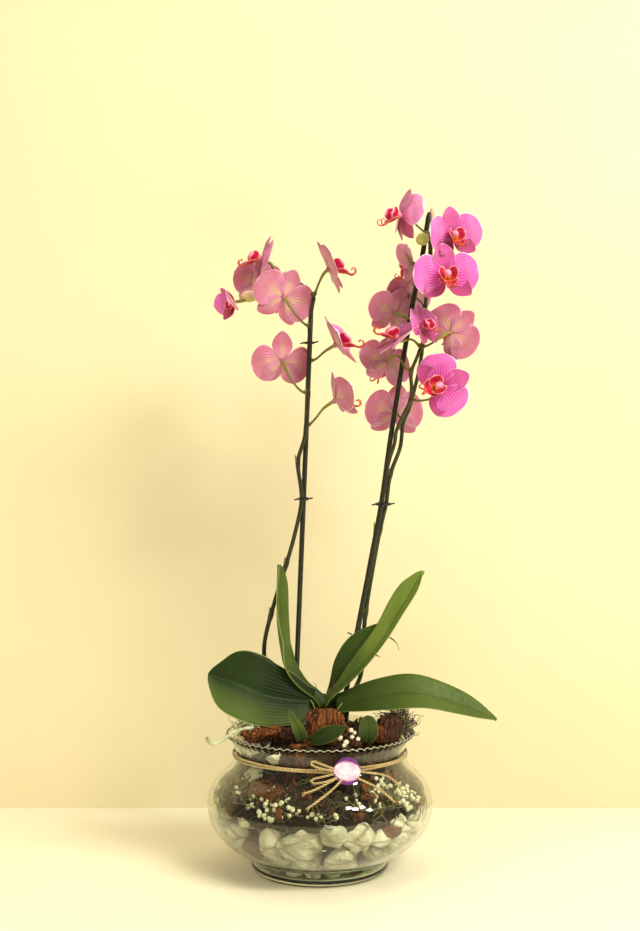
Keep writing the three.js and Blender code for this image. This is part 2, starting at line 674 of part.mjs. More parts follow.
// ---- Dried baby's breath ----
// Turn and height of each point of the main twig and of each head.
const sprigs = {
  sprig_left: {
    main: [[-150, 78], [-138, 80], [-126, 82], [-116, 81], [-105, 78], [-95, 77]],
    heads: [
      [-148, 91], [-130, 89], [-128, 82], [-121, 94], [-119, 80], [-117, 74],
      [-109, 89], [-106, 78], [-101, 82], [-92, 76], [-82, 79],
    ],
  },
  sprig_right: {
    main: [[-71, 82], [-62, 80], [-52, 80], [-41, 79], [-30, 78]],
    heads: [
      [-69, 93], [-61, 92], [-52, 97], [-47, 98], [-41, 90], [-34, 84], [-27, 86], [-37, 76], [-22, 79],
    ],
  },
};

function sprig({ main, heads }, extra) {
  const line = main.map(([turn, z]) => offGlass(turn, z, 3 * HEAD_RADIUS));
  const tops = heads.map(([turn, z]) => offGlass(turn, z, HEAD_RADIUS + 5 * GAP));
  const nearest = (head) =>
    line.reduce((best, p) => (at(p).distanceTo(at(head)) < at(best).distanceTo(at(head)) ? p : best));
  return join([
    stem(line, () => 0.9 + extra, 7, 5),
    ...tops.map((head) => stem([nearest(head), head], () => 0.7 + extra, 2, 4)),
    ...tops.map((head) => ball(head, HEAD_RADIUS + extra, 0)),
  ]);
}

// ---- Twine and label ----
const NECK_TWINE_RADIUS = NECK_RADIUS + GAP + TWINE_RADIUS + 1;
const knotAngle = THREE.MathUtils.degToRad(KNOT_TURN);
const knotPlace = [
  NECK_TWINE_RADIUS * Math.cos(knotAngle),
  NECK_TWINE_RADIUS * Math.sin(knotAngle) - 3.2,
  BAND_Z,
];

function band(extra) {
  const high = 2 * TWINE_RADIUS + extra;
  const wide = TWINE_RADIUS + extra;
  const loop = Array.from({ length: 44 }, (_, k) => {
    const a = (TURN * k) / 44;
    return Array.from({ length: 6 }, (_, j) => {
      const b = (TURN * j) / 6;
      const r = NECK_TWINE_RADIUS + wide * Math.cos(b);
      return V(r * Math.cos(a), r * Math.sin(a), BAND_Z + high * Math.sin(b));
    });
  });
  return torus(loop);
}

// A closed ring through sections of equal count.
function torus(sections) {
  const [n, m] = [sections.length, sections[0].length];
  const faces = [];
  for (let i = 0; i < n; i++)
    for (let j = 0; j < m; j++) {
      const spot = (a, b) => ((i + a) % n) * m + ((j + b) % m);
      faces.push(spot(0, 0), spot(1, 0), spot(1, 1), spot(0, 0), spot(1, 1), spot(0, 1));
    }
  const g = new THREE.BufferGeometry();
  const numbers = sections.flat().flatMap((p) => [p.x, p.y, p.z]);
  g.setAttribute("position", new THREE.Float32BufferAttribute(numbers, 3));
  g.setIndex(faces);
  return solidOf(g);
}

// Each loop goes out from the knot on one line and comes back on the next, as steps from the knot's middle.
const loops = [
  [[-1, -1.6, 2.1], [-13, -5.6, 3.9], [-24, -5.6, 7.5], [-31, -4.9, 9.9], [-33.6, -4.9, 8.5]],
  [[-33.6, -4.9, 8.5], [-31, -5.1, 5.7], [-21, -5.7, 2.9], [-11, -5.7, 1.1], [-1, -1.6, -0.1]],
  [[-1, -1.6, -0.5], [-13, -6.1, -1.7], [-23, -7.5, -3.9], [-31, -7.1, -5.9], [-33.6, -7.3, -7.9]],
  [[-33.6, -7.3, -7.9], [-31, -8.1, -9.5], [-21, -9.1, -8.3], [-11, -7.3, -5.1], [-1, -1.6, -2.5]],
];

function bow(extra) {
  return join([
    pebble(knotPlace, [5, 3, 4.4], 55, extra),
    ...loops
      .map((line) => line.map((step) => step.map((v, i) => v + knotPlace[i])))
      .map((line) => stem(line, () => TWINE_RADIUS + extra, 8, 6)),
  ]);
}

// The four loose ends of the twine, from the knot to their frayed tips.
const tails = {
  twine_tail_1: [
    [19, -91.5, 113.4], [17, -92.2, 112.3], [15, -92.9, 111.2], [12.8, -93.7, 110], [10.6, -94.5, 108.9],
    [8.4, -95.2, 107.9], [6.2, -95.9, 106.8], [3.8, -96.6, 105.7], [1.4, -97.3, 104.6], [-1, -97.9, 103.5],
    [-3.6, -98.4, 102.4], [-6.2, -98.9, 101.4], [-9, -99.2, 100.4], [-12, -99.4, 99.5], [-15, -99.4, 98.8],
  ],
  twine_tail_2: [
    [20.5, -94.8, 110.6], [18.6, -96.2, 108.8], [16.6, -97.6, 107], [14.6, -99, 105.2], [12.4, -100.4, 103.5],
    [10.2, -101.6, 101.8], [8, -102.8, 100.1], [5.6, -103.9, 98.5], [3.2, -104.9, 96.9], [0.8, -105.8, 95.3],
    [-1.6, -106.6, 93.7], [-4, -107.3, 92.1], [-6.4, -107.8, 90.5], [-8.8, -108.2, 88.9], [-11, -108.5, 87.4],
  ],
  twine_tail_3: [
    [31.5, -89.8, 112.6], [34, -89.9, 111.3], [36.5, -89.8, 110.1], [39, -89.5, 108.9], [41.6, -89.1, 107.6],
    [44.2, -88.6, 106.3], [46.8, -87.9, 104.9], [49.4, -87.1, 103.4], [52, -86.3, 101.8], [54.6, -85.5, 100],
    [57.2, -84.7, 98], [60, -84, 95.8], [63, -83.5, 93.2], [66.4, -83.2, 90.2], [69.6, -83.4, 87.2],
  ],
  twine_tail_4: [
    [32.5, -85.8, 116.2], [36, -84.8, 115.6], [39.6, -83.6, 115], [43.2, -82, 114.3], [46.8, -80.2, 113.6],
    [50.2, -78.4, 112.8], [53.6, -76.4, 111.9], [57, -74.4, 110.8], [60.4, -72.5, 109.5],
    [63.8, -70.8, 107.9],
    [67, -69.5, 105.9], [70, -68.7, 103.4], [72.6, -68.4, 100.6], [75, -68.4, 97.6], [77, -68.6, 94.6],
  ],
};

function label(extra) {
  const n = 32;
  const turn = new THREE.Matrix4().lookAt(V(0.15, -0.98, 0.1), V(0, 0, 0), V(0, 0, 1));
  const middle = V(knotPlace[0], knotPlace[1] - 4 - LABEL_THICKNESS, BAND_Z + 1);
  const face = (depth) =>
    Array.from({ length: n }, (_, k) => {
      const a = (TURN * k) / n;
      const r = LABEL_RADIUS - (k % 2 ? 0.7 : 0) + extra;
      return V(r * Math.cos(a), r * Math.sin(a), depth).applyMatrix4(turn).add(middle);
    });
  return loft([face(-LABEL_THICKNESS / 2 - extra), face(LABEL_THICKNESS / 2 + extra)]);
}

// ---- Planting mix: a mound that every piece set in it has its own place in ----
function mix(extra) {
  const neck = NECK_RADIUS - GLASS - MIX_NECK_GAP;
  const wide = BOWL_RADIUS - GLASS - MIX_GAP;
  const low = BED_TOP_Z + GAP;
  const mound = turned([
    [0, low],
    [wide - 3, low],
    [wide, BELLY_Z],
    [wide, BELLY_Z + 8],
    [wide - 6, BELLY_Z + 20],
    [neck + 8, BELLY_TOP_Z - 5],
    [neck, BELLY_TOP_Z + 6],
    [neck, NECK_Z + 6],
    [neck - 2, RIM_Z - 10],
    [neck - 14, RIM_Z - 2],
    [45, MOUND_Z - 5],
    [22, MOUND_Z],
    [0, MOUND_Z],
  ], 40);
  const corner = [-GAP_HALF, GAP_FRONT_Y, GAP_FLOOR_Z];
  const dip = wasm.Manifold.cube([2 * GAP_HALF, 100, 80], false).translate(corner);
  return mound.subtract(dip);
}

// ---- Putting the pieces together: each one gives way to those placed before it ----
const placed = [];
const orchid = new THREE.Group();
orchid.name = "potted_orchid";

const meet = (a, b) =>
  [0, 1, 2].every((i) => a.min[i] < b.max[i] && b.min[i] < a.max[i]);

function place(name, look, make) {
  let solid = make(0);
  const box = solid.boundingBox();
  for (const other of placed) if (meet(box, other.box)) solid = solid.subtract(other.grown);
  const bodies = solid.simplify(TIDY).decompose().sort((a, b) => b.volume() - a.volume());
  const grown = make(GAP);
  placed.push({ grown, box: grown.boundingBox() });
  const found = bodies[0].getMesh();
  const g = new THREE.BufferGeometry();
  g.setAttribute("position", new THREE.BufferAttribute(new Float32Array(found.vertProperties), 3));
  g.setIndex(new THREE.BufferAttribute(new Uint32Array(found.triVerts), 1));
  const flat = g.toNonIndexed();
  flat.computeVertexNormals();
  const mesh = new THREE.Mesh(flat, looks[look]);
  mesh.name = name;
  orchid.add(mesh);
}

place("glass_bowl", "glass", bowl);
for (const [name, line] of Object.entries(stakes))
  place(name, "stake", (extra) => stem(line, () => STAKE_RADIUS + extra, line.length + 1, 9));
for (const [name, each] of Object.entries(spikes)) {
  place("spike_" + name, "spike", (extra) => spike(each, extra));
}
for (const [name, each] of Object.entries(clips)) place(name, "clip", (extra) => clip(each, extra));
for (const [name, each] of Object.entries(leaves)) place(name, "leaf", (extra) => blade(each, extra));
for (const [name, each] of Object.entries(flowers)) place(name, "petal", (extra) => bloom(each, extra));
place("plant_crown", "leaf", crown);
place("aerial_root", "root", root);
place("twine_band", "twine", band);
for (const [name, line] of Object.entries(tails))
  place(name, "twine", (extra) => cord(line, TWINE_RADIUS + extra));
place("twine_bow", "twine", bow);
place("label", "label", label);
for (const [name, each] of Object.entries(sprigs)) place(name, "blossom", (extra) => sprig(each, extra));
Object.entries(stones).forEach(([name, { place: spot, half, look }], i) =>
  place(name, look, (extra) => pebble(spot, half, 10 + 3 * i, extra).intersect(cavity(GAP - extra))),
);
Object.entries(barks).forEach(([name, each], i) => {
  place(name, "bark", (extra) => chip(each, 60 + 20 * i, extra));
});
for (const [name, { place: spot, half }] of Object.entries(tufts))
  place(name, "moss", (extra) => pebble(spot, half, 33, extra));
place("stone_bed", "gravel", gravel);
place("planting_mix", "mix", mix);

export default orchid;
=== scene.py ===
import math
import random

import bpy
from mathutils import Euler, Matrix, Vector, noise


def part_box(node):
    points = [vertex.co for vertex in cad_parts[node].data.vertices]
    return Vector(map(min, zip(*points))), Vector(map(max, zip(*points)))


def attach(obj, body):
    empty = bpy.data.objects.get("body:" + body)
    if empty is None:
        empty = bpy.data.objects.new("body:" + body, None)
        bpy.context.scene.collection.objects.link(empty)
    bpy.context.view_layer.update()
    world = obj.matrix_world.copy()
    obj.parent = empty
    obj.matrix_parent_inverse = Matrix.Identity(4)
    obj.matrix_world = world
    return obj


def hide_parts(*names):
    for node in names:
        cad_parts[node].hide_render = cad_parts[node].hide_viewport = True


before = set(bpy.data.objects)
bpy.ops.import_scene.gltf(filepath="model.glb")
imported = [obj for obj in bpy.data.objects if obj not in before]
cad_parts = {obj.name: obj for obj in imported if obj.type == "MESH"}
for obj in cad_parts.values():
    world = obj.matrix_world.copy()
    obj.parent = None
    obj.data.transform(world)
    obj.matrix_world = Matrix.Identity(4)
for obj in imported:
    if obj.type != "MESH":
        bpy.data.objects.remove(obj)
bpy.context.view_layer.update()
random.seed(11)

MM = 0.001
TURN = 2 * math.pi

# ---------------------------------------- sizes shared with the design, in millimetres
BOWL_RADIUS, BELLY_Z, BELLY_UNDER, BELLY_OVER, BELLY_TOP_Z = 112.3, 67, 67, 59, 102
FOOT_RADIUS, FOOT_BULGE, WAIST_Z = 64, 4.8, 14.5
NECK_RADIUS, NECK_Z, RIM_RADIUS, RIM_Z = 84, 115, 93.5, 137.4
GLASS, BASE_GLASS = 3.6, 5.5
SCALLOPS, SCALLOP_DEPTH = 76, 1.5
STAKE_RADIUS, SPIKE_RADIUS, PEDICEL_RADIUS, TWINE_RADIUS = 2.6, 2.1, 1.15, 1.1
BAND_Z, LABEL_RADIUS = 116.5, 13

# ---------------------------------------- counts of sides and steps, and smaller sizes
RIM_SIDES, BEAD_SIDES, BEAD_RADIUS = 6 * SCALLOPS, 8, 0.36
MIX_SIDES, MIX_TOP_Z, MIX_TOP_RADIUS, HOLLOW_Z = 180, 146, 76, 119
SPIKE_STEPS, STAKE_STEPS, LABEL_SIDES = 220, 240, 128
CLIP_STEPS, CLIP_SIDES, CLIP_GAUGE, CLIP_HEIGHT = 48, 10, 0.7, 1.3
BAND_STEPS, BAND_SIDES, STRAND_DIP = 520, 12, 0.26
PETAL_THICK = 0.45
CRUMBS, GLASS_THREADS, CROWN_ROOTS = 330, 420, 9
WALL_Y, STAGE_HALF = 0.235, 4  # metres, as the stage and the camera are


# ---------------------------------------- camera and lights
def add_camera():
    data = bpy.data.cameras.new("front_camera")
    data.lens = 51.93
    data.sensor_width = 36
    camera = bpy.data.objects.new("front_camera", data)
    camera.location = (0, -1.343, 0.4025)
    camera.rotation_euler = (math.pi / 2, 0, 0)
    bpy.context.collection.objects.link(camera)
    bpy.context.scene.camera = camera


def add_lamp(name, place, aim, size, power, colour, glint=False):
    """A soft panel that stays out of reflections, or a small ceiling lamp that shows as a glint."""
    data = bpy.data.lights.new(name, "AREA")
    data.shape = "RECTANGLE"
    data.size, data.size_y = size
    data.energy = power
    data.color = colour
    lamp = bpy.data.objects.new(name, data)
    lamp.location = place
    lamp.rotation_euler = (Vector(aim) - Vector(place)).to_track_quat("-Z", "Y").to_euler()
    lamp.visible_glossy = lamp.visible_transmission = glint
    bpy.context.collection.objects.link(lamp)


def add_world(colour, strength):
    world = bpy.data.worlds.new("studio")
    bpy.context.scene.world = world
    world.use_nodes = True
    back = world.node_tree.nodes["Background"]
    back.inputs["Color"].default_value = (*colour, 1)
    back.inputs["Strength"].default_value = strength


add_camera()
bpy.context.scene.view_settings.view_transform = "Standard"
WARM = (1.0, 0.94, 0.735)
add_world(WARM, 0.2)
add_lamp("key", (0.95, -1.25, 1.55), (0.05, 0, 0.3), (0.9, 0.9), 27, WARM)
add_lamp("fill", (-1.25, -1.1, 1.0), (0, 0, 0.35), (1.1, 1.1), 14, WARM)
add_lamp("top", (0.1, 0.05, 1.9), (0, 0, 0.2), (1.2, 0.9), 8, WARM)
add_lamp("low_front", (0.12, -0.85, 0.14), (0, 0, 0.06), (0.4, 0.2), 1.5, WARM)
for number, place in enumerate(((0.86, -0.95, 1.25), (1.08, -0.82, 1.36), (1.2, -0.8, 1.05),
                                (0.74, -1.0, 1.4))):
    add_lamp(f"ceiling_{number}", place, (0.03, 0, 0.07), (0.16, 0.2), 3.6, (1.0, 0.98, 0.9), glint=True)


# ---------------------------------------- shader nodes
def rgb(red, green, blue):
    """A colour given as 0 to 255, as the shader wants it."""
    def linear(v):
        v /= 255
        return v / 12.92 if v <= 0.04045 else ((v + 0.055) / 1.055) ** 2.4
    return (linear(red), linear(green), linear(blue), 1.0)


def feed(tree, sockets, values):
    """Links each value that comes from another node, and sets each plain one."""
    for key, value in values.items():
        if isinstance(value, bpy.types.NodeSocket):
            tree.links.new(value, sockets[key])
        else:
            sockets[key].default_value = value


def node(tree, kind, inputs=None, **settings):
    made = tree.nodes.new(kind)
    for key, value in settings.items():
        setattr(made, key, value)
    feed(tree, made.inputs, inputs or {})
    return made


def maths(tree, operation, *values):
    return node(tree, "ShaderNodeMath", dict(enumerate(values)), operation=operation).outputs[0]


def ramp(tree, value, low, high, to_low=0.0, to_high=1.0):
    inputs = {"Value": value, "From Min": low, "From Max": high, "To Min": to_low, "To Max": to_high}
    return node(tree, "ShaderNodeMapRange", inputs, interpolation_type="SMOOTHSTEP").outputs[0]


def blend(tree, share, first, second):
    made = node(tree, "ShaderNodeMix", data_type="RGBA")
    feed(tree, made.inputs, {0: share, 6: first, 7: second})
    return made.outputs[2]


def tint(tree, base, mask, amount, over):
    """The base colour with another laid over it where the mask is, at some strength."""
    return blend(tree, maths(tree, "MULTIPLY", mask, amount), base, over)


def mark(tree, name):
    return node(tree, "ShaderNodeAttribute", attribute_name=name).outputs["Fac"]


def new_group(name, inputs, outputs):
    group = bpy.data.node_groups.new(name, "ShaderNodeTree")
    for label, default in inputs:
        socket = group.interface.new_socket(label, in_out="INPUT", socket_type="NodeSocketFloat")
        socket.default_value = default
    for label in outputs:
        group.interface.new_socket(label, in_out="OUTPUT", socket_type="NodeSocketFloat")
    return group, group.nodes.new("NodeGroupInput").outputs, group.nodes.new("NodeGroupOutput").inputs


def place_group(tree, group, **inputs):
    made = tree.nodes.new("ShaderNodeGroup")
    made.node_tree = group
    feed(tree, made.inputs, inputs)
    return made.outputs


def object_place(tree):
    return node(tree, "ShaderNodeTexCoord").outputs["Object"]


def make_mottle():
    """Soft patches of light and dark, as in clay, stone or leaf skin."""
    group, given, out = new_group("mottle", [("Scale", 40), ("Detail", 4), ("Contrast", 0.25)],
                                  ["Patches", "Fine"])
    patches = node(group, "ShaderNodeTexNoise", {"Vector": object_place(group), "Scale": given["Scale"],
                                                 "Detail": given["Detail"], "Roughness": 0.6})
    low = maths(group, "SUBTRACT", 0.5, given["Contrast"])
    high = maths(group, "ADD", 0.5, given["Contrast"])
    group.links.new(ramp(group, patches.outputs["Fac"], low, high), out["Patches"])
    fine_scale = maths(group, "MULTIPLY", given["Scale"], 9.0)
    fine = node(group, "ShaderNodeTexNoise",
                {"Vector": object_place(group), "Scale": fine_scale, "Detail": 3})
    group.links.new(fine.outputs["Fac"], out["Fine"])
    return group


def make_speckle():
    """Small scattered spots, as mineral grains or soil crumbs."""
    group, given, out = new_group("speckle", [("Scale", 600), ("Size", 0.25)], ["Spots"])
    cells = node(group, "ShaderNodeTexVoronoi", {"Vector": object_place(group), "Scale": given["Scale"]})
    spots = ramp(group, cells.outputs["Distance"], given["Size"], 0.0)
    colour = node(group, "ShaderNodeSeparateColor", {"Color": cells.outputs["Color"]})
    chosen = maths(group, "GREATER_THAN", colour.outputs[0], 0.55)
    group.links.new(maths(group, "MULTIPLY", spots, chosen), out["Spots"])
    return group


def make_fan():
    """Lines that run along a blade, from its base to its tip, and double towards the tip."""
    group, given, out = new_group(
        "fan_lines", [("Along", 0), ("Across", 0), ("Count", 7), ("Width", 0.16), ("Wobble", 0.3)], ["Lines"])
    wander = node(group, "ShaderNodeTexNoise", {"Vector": object_place(group), "Scale": 130, "Detail": 2})
    shift = maths(group, "MULTIPLY", maths(group, "SUBTRACT", wander.outputs["Fac"], 0.5), given["Wobble"])
    place = maths(group, "ADD", maths(group, "MULTIPLY", given["Across"], given["Count"]), shift)
    main = ramp(group, maths(group, "PINGPONG", place, 0.5), given["Width"], 0.0)
    between = ramp(group, maths(group, "PINGPONG", maths(group, "ADD", place, 0.5), 0.5), given["Width"], 0.0)
    late = maths(group, "MULTIPLY", between, ramp(group, given["Along"], 0.4, 0.6))
    group.links.new(maths(group, "MAXIMUM", main, late), out["Lines"])
    return group


def make_edge():
    """One near the rim of a blade, none inside it."""
    group, given, out = new_group("pale_edge", [("Along", 0), ("Across", 0), ("Width", 0.1)], ["Edge"])
    inner = maths(group, "SUBTRACT", 1.0, given["Width"])
    sides = ramp(group, maths(group, "ABSOLUTE", given["Across"]), inner, 1.0)
    tip = ramp(group, given["Along"], inner, 1.0)
    group.links.new(maths(group, "MAXIMUM", sides, tip), out["Edge"])
    return group


def make_grain():
    """Long fibres or cracks that run along one direction of the piece."""
    group, given, out = new_group("grain", [("X", 300), ("Y", 300), ("Z", 30), ("Contrast", 0.2)],
                                  ["Fibres", "Cracks"])
    scale = node(group, "ShaderNodeCombineXYZ", {0: given["X"], 1: given["Y"], 2: given["Z"]})
    place = node(group, "ShaderNodeVectorMath", {0: object_place(group), 1: scale.outputs[0]},
                 operation="MULTIPLY")
    fibres = node(group, "ShaderNodeTexNoise",
                  {"Vector": place.outputs[0], "Scale": 1.0, "Detail": 5, "Roughness": 0.65})
    low = maths(group, "SUBTRACT", 0.5, given["Contrast"])
    high = maths(group, "ADD", 0.5, given["Contrast"])
    group.links.new(ramp(group, fibres.outputs["Fac"], low, high), out["Fibres"])
    cells = node(group, "ShaderNodeTexVoronoi", {"Vector": place.outputs[0], "Scale": 0.35},
                 feature="DISTANCE_TO_EDGE")
    group.links.new(ramp(group, cells.outputs["Distance"], 0.09, 0.0), out["Cracks"])
    return group


MOTTLE, SPECKLE, FAN, EDGE, GRAIN = make_mottle(), make_speckle(), make_fan(), make_edge(), make_grain()


def new_material(name, **sockets):
    made = bpy.data.materials.new(name)
    made.use_nodes = True
    shader = made.node_tree.nodes["Principled BSDF"]
    for key, value in sockets.items():
        shader.inputs[key.replace("_", " ")].default_value = value
    return made, made.node_tree, shader


def finish(tree, shader, colour, roughness=None, height=None, bump=0.3, depth=0.0006):
    tree.links.new(colour, shader.inputs["Base Color"])
    if roughness is not None:
        tree.links.new(roughness, shader.inputs["Roughness"])
    if height is not None:
        raised = node(tree, "ShaderNodeBump", {"Height": height, "Strength": bump, "Distance": depth})
        tree.links.new(raised.outputs[0], shader.inputs["Normal"])


def petal_material():
    """Veined magenta front with a pale rim, dusty pink back with a green rib. tone goes from pale to deep."""
    made, tree, shader = new_material("orchid_petal", Roughness=0.55, Subsurface_Weight=0.18,
                                      Subsurface_Scale=0.002, Sheen_Weight=0.25, Sheen_Roughness=0.4,
                                      Specular_IOR_Level=0.35)
    along, across, front, tone = (mark(tree, name) for name in ("along", "across", "front", "tone"))
    veins = place_group(tree, FAN, Along=along, Across=across, Count=6.5, Width=0.26, Wobble=0.55)["Lines"]
    edge = place_group(tree, EDGE, Along=along, Across=across, Width=0.07)["Edge"]
    soft = place_group(tree, MOTTLE, Scale=55, Detail=3, Contrast=0.22)
    deep = blend(tree, soft["Patches"], rgb(228, 116, 204), rgb(210, 82, 182))
    pale = blend(tree, soft["Patches"], rgb(238, 172, 216), rgb(226, 138, 198))
    face = blend(tree, tone, pale, deep)
    face = tint(tree, face, ramp(tree, along, 0.5, 0.05), 0.75, rgb(170, 24, 104))
    middle = ramp(tree, maths(tree, "ABSOLUTE", maths(tree, "SUBTRACT", along, 0.7)), 0.28, 0.0)
    face = tint(tree, face, middle, 0.3, rgb(240, 150, 220))
    strong = ramp(tree, along, 1.05, 0.35, 0.25, 0.9)
    face = tint(tree, face, veins, strong, rgb(136, 8, 74))
    face = tint(tree, face, edge, 0.9, rgb(255, 226, 240))
    # Painted shade: the sepals' fronts are darkened towards deep crimson, more on the lower two.
    face = tint(tree, face, mark(tree, "dusk"), 0.78, rgb(140, 28, 70))
    back = blend(tree, soft["Patches"], rgb(208, 146, 172), rgb(182, 116, 144))
    back = tint(tree, back, tone, 0.3, rgb(214, 104, 160))
    fine = place_group(tree, FAN, Along=along, Across=across, Count=13, Width=0.3, Wobble=0.4)["Lines"]
    rib = maths(tree, "MULTIPLY", ramp(tree, maths(tree, "ABSOLUTE", across), 0.5, 0.0),
                ramp(tree, along, 1.0, 0.1))
    back = tint(tree, back, rib, 0.75, rgb(196, 184, 130))
    back = tint(tree, back, veins, 0.8, rgb(150, 66, 98))
    back = tint(tree, back, fine, 0.45, rgb(158, 84, 108))
    back = tint(tree, back, edge, 0.6, rgb(244, 200, 224))
    finish(tree, shader, blend(tree, front, back, face), height=maths(tree, "SUBTRACT", soft["Fine"], veins),
           bump=0.3, depth=0.0003)
    return made


def lip_material():
    """Orange at the throat, crimson along the lobes, a pink rim."""
    made, tree, shader = new_material("orchid_lip", Roughness=0.4, Subsurface_Weight=0.1,
                                      Subsurface_Scale=0.001)
    along, across, tone = (mark(tree, name) for name in ("along", "across", "tone"))
    veins = place_group(tree, FAN, Along=along, Across=across, Count=3.0, Width=0.25, Wobble=0.6)["Lines"]
    edge = place_group(tree, EDGE, Along=along, Across=across, Width=0.22)["Edge"]
    soft = place_group(tree, MOTTLE, Scale=160, Detail=3, Contrast=0.2)
    colour = blend(tree, ramp(tree, along, 0.08, 0.6), rgb(240, 146, 44), rgb(200, 14, 66))
    colour = tint(tree, colour, soft["Patches"], 0.35, rgb(156, 6, 50))
    colour = tint(tree, colour, veins, 0.4, rgb(120, 4, 30))
    colour = tint(tree, colour, edge, tone, rgb(250, 196, 214))
    finish(tree, shader, colour, height=soft["Fine"], bump=0.25, depth=0.0003)
    return made


def column_material():
    made, tree, shader = new_material("orchid_column", Roughness=0.45, Subsurface_Weight=0.2,
                                      Subsurface_Scale=0.001)
    soft = place_group(tree, MOTTLE, Scale=180, Detail=3, Contrast=0.25)
    colour = blend(tree, soft["Patches"], rgb(236, 160, 190), rgb(214, 110, 158))
    colour = blend(tree, ramp(tree, mark(tree, "along"), 0.5, 0.0), colour, rgb(238, 176, 60))
    finish(tree, shader, colour, height=soft["Fine"], bump=0.2, depth=0.0003)
    return made


def leaf_material():
    """Waxy skin with long fine veins, a thin pale rim, painted shade in the rib's groove and towards the
    base. tone goes from dark to light.
    """
    made, tree, shader = new_material("orchid_leaf", Roughness=0.5, Specular_IOR_Level=0.22,
                                      Subsurface_Weight=0.03, Subsurface_Scale=0.002)
    along, across, front, tone = (mark(tree, name) for name in ("along", "across", "front", "tone"))
    veins = place_group(tree, FAN, Along=along, Across=across, Count=9, Width=0.3, Wobble=0.15)["Lines"]
    edge = place_group(tree, EDGE, Along=0.0, Across=across, Width=0.035)["Edge"]
    soft = place_group(tree, MOTTLE, Scale=22, Detail=5, Contrast=0.28)
    dark = blend(tree, soft["Patches"], rgb(8, 16, 3), rgb(18, 34, 7))
    light = blend(tree, soft["Patches"], rgb(80, 104, 38), rgb(118, 136, 58))
    # Painted shade: the light tone is held back towards the leaf's base, so the base is darker and the tip
    # lighter.
    colour = tint(tree, dark, tone, ramp(tree, along, 0.0, 0.62, 0.3, 1.0), light)
    colour = tint(tree, colour, veins, 0.08, rgb(120, 150, 70))
    # Painted shade: the midrib's groove is darkened along the middle of the leaf.
    rib = ramp(tree, maths(tree, "ABSOLUTE", across), 0.07, 0.0)
    colour = tint(tree, colour, rib, 0.5, rgb(34, 62, 18))
    colour = tint(tree, colour, edge, 0.6, rgb(170, 190, 110))
    under = blend(tree, 0.3, colour, rgb(100, 124, 62))
    colour = blend(tree, front, under, colour)
    rough = ramp(tree, soft["Fine"], 0.3, 0.7, 0.4, 0.58)
    finish(tree, shader, colour, rough, maths(tree, "ADD", maths(tree, "MULTIPLY", veins, 0.5), soft["Fine"]),
           bump=0.07, depth=0.0003)
    return made


def stalk_material(name, dark, light, tip):
    """Smooth stem that turns from dark to light as the mark "along" runs out."""
    made, tree, shader = new_material(name, Roughness=0.42, Coat_Weight=0.1, Coat_Roughness=0.3)
    soft = place_group(tree, MOTTLE, Scale=150, Detail=4, Contrast=0.25)
    colour = blend(tree, soft["Patches"], dark, light)
    colour = blend(tree, mark(tree, "along"), colour, tip)
    finish(tree, shader, colour, height=soft["Fine"], bump=0.3, depth=0.0003)
    return made


def stone_material(name, first, second, spot):
    made, tree, shader = new_material(name, Roughness=0.6, Specular_IOR_Level=0.45)
    soft = place_group(tree, MOTTLE, Scale=60, Detail=6, Contrast=0.2)
    spots = place_group(tree, SPECKLE, Scale=420, Size=0.3)["Spots"]
    seams = place_group(tree, GRAIN, X=70, Y=70, Z=160, Contrast=0.12)
    stains = place_group(tree, MOTTLE, Scale=24, Detail=5, Contrast=0.08)
    colour = blend(tree, soft["Patches"], first, second)
    colour = tint(tree, colour, stains["Patches"], 0.15, spot)
    colour = blend(tree, mark(tree, "tone"), colour, blend(tree, 0.25, colour, spot))
    colour = tint(tree, colour, seams["Cracks"], 0.6, spot)
    colour = tint(tree, colour, spots, 0.35, spot)
    rough = ramp(tree, soft["Fine"], 0.3, 0.7, 0.45, 0.75)
    finish(tree, shader, colour, rough, maths(tree, "ADD", soft["Fine"], seams["Fibres"]), bump=0.85,
           depth=0.0014)
    return made


def bark_material(name, first, second, crack):
    made, tree, shader = new_material(name, Roughness=0.85)
    fibres = place_group(tree, GRAIN, X=420, Y=420, Z=45, Contrast=0.2)
    soft = place_group(tree, MOTTLE, Scale=90, Detail=5, Contrast=0.2)
    colour = blend(tree, fibres["Fibres"], first, second)
    colour = tint(tree, colour, soft["Patches"], 0.4, crack)
    colour = blend(tree, fibres["Cracks"], colour, crack)
    finish(tree, shader, colour, height=maths(tree, "SUBTRACT", fibres["Fibres"], fibres["Cracks"]), bump=0.9,
           depth=0.0012)
    return made


def soil_material():
    made, tree, shader = new_material("planting_mix", Roughness=0.9)
    soft = place_group(tree, MOTTLE, Scale=70, Detail=8, Contrast=0.15)
    crumbs = place_group(tree, SPECKLE, Scale=260, Size=0.5)["Spots"]
    colour = blend(tree, soft["Patches"], rgb(22, 17, 10), rgb(58, 42, 24))
    colour = tint(tree, colour, crumbs, 0.5, rgb(104, 70, 38))
    finish(tree, shader, colour, height=maths(tree, "ADD", soft["Fine"], crumbs), bump=1.0, depth=0.002)
    return made


def fibre_material(name, first, second, scale, groove_shade=None):
    """Matt fibre. The mark "front" is one on the crown of a strand and zero in the dip between two, where an
    optional colour paints shade.
    """
    made, tree, shader = new_material(name, Roughness=0.88, Sheen_Weight=0.3, Sheen_Roughness=0.5)
    soft = place_group(tree, MOTTLE, Scale=scale, Detail=4, Contrast=0.25)
    strands = place_group(tree, GRAIN, X=900, Y=900, Z=900, Contrast=0.22)
    colour = blend(tree, soft["Patches"], first, second)
    colour = tint(tree, colour, strands["Fibres"], 0.4, first)
    if groove_shade:
        # Painted shade: the dips between twisted strands are darkened towards the given shade colour.
        colour = blend(tree, ramp(tree, mark(tree, "front"), 0.75, 0.1, 0.0, 0.85), colour, groove_shade)
    finish(tree, shader, colour, height=strands["Fibres"], bump=0.6, depth=0.0004)
    return made


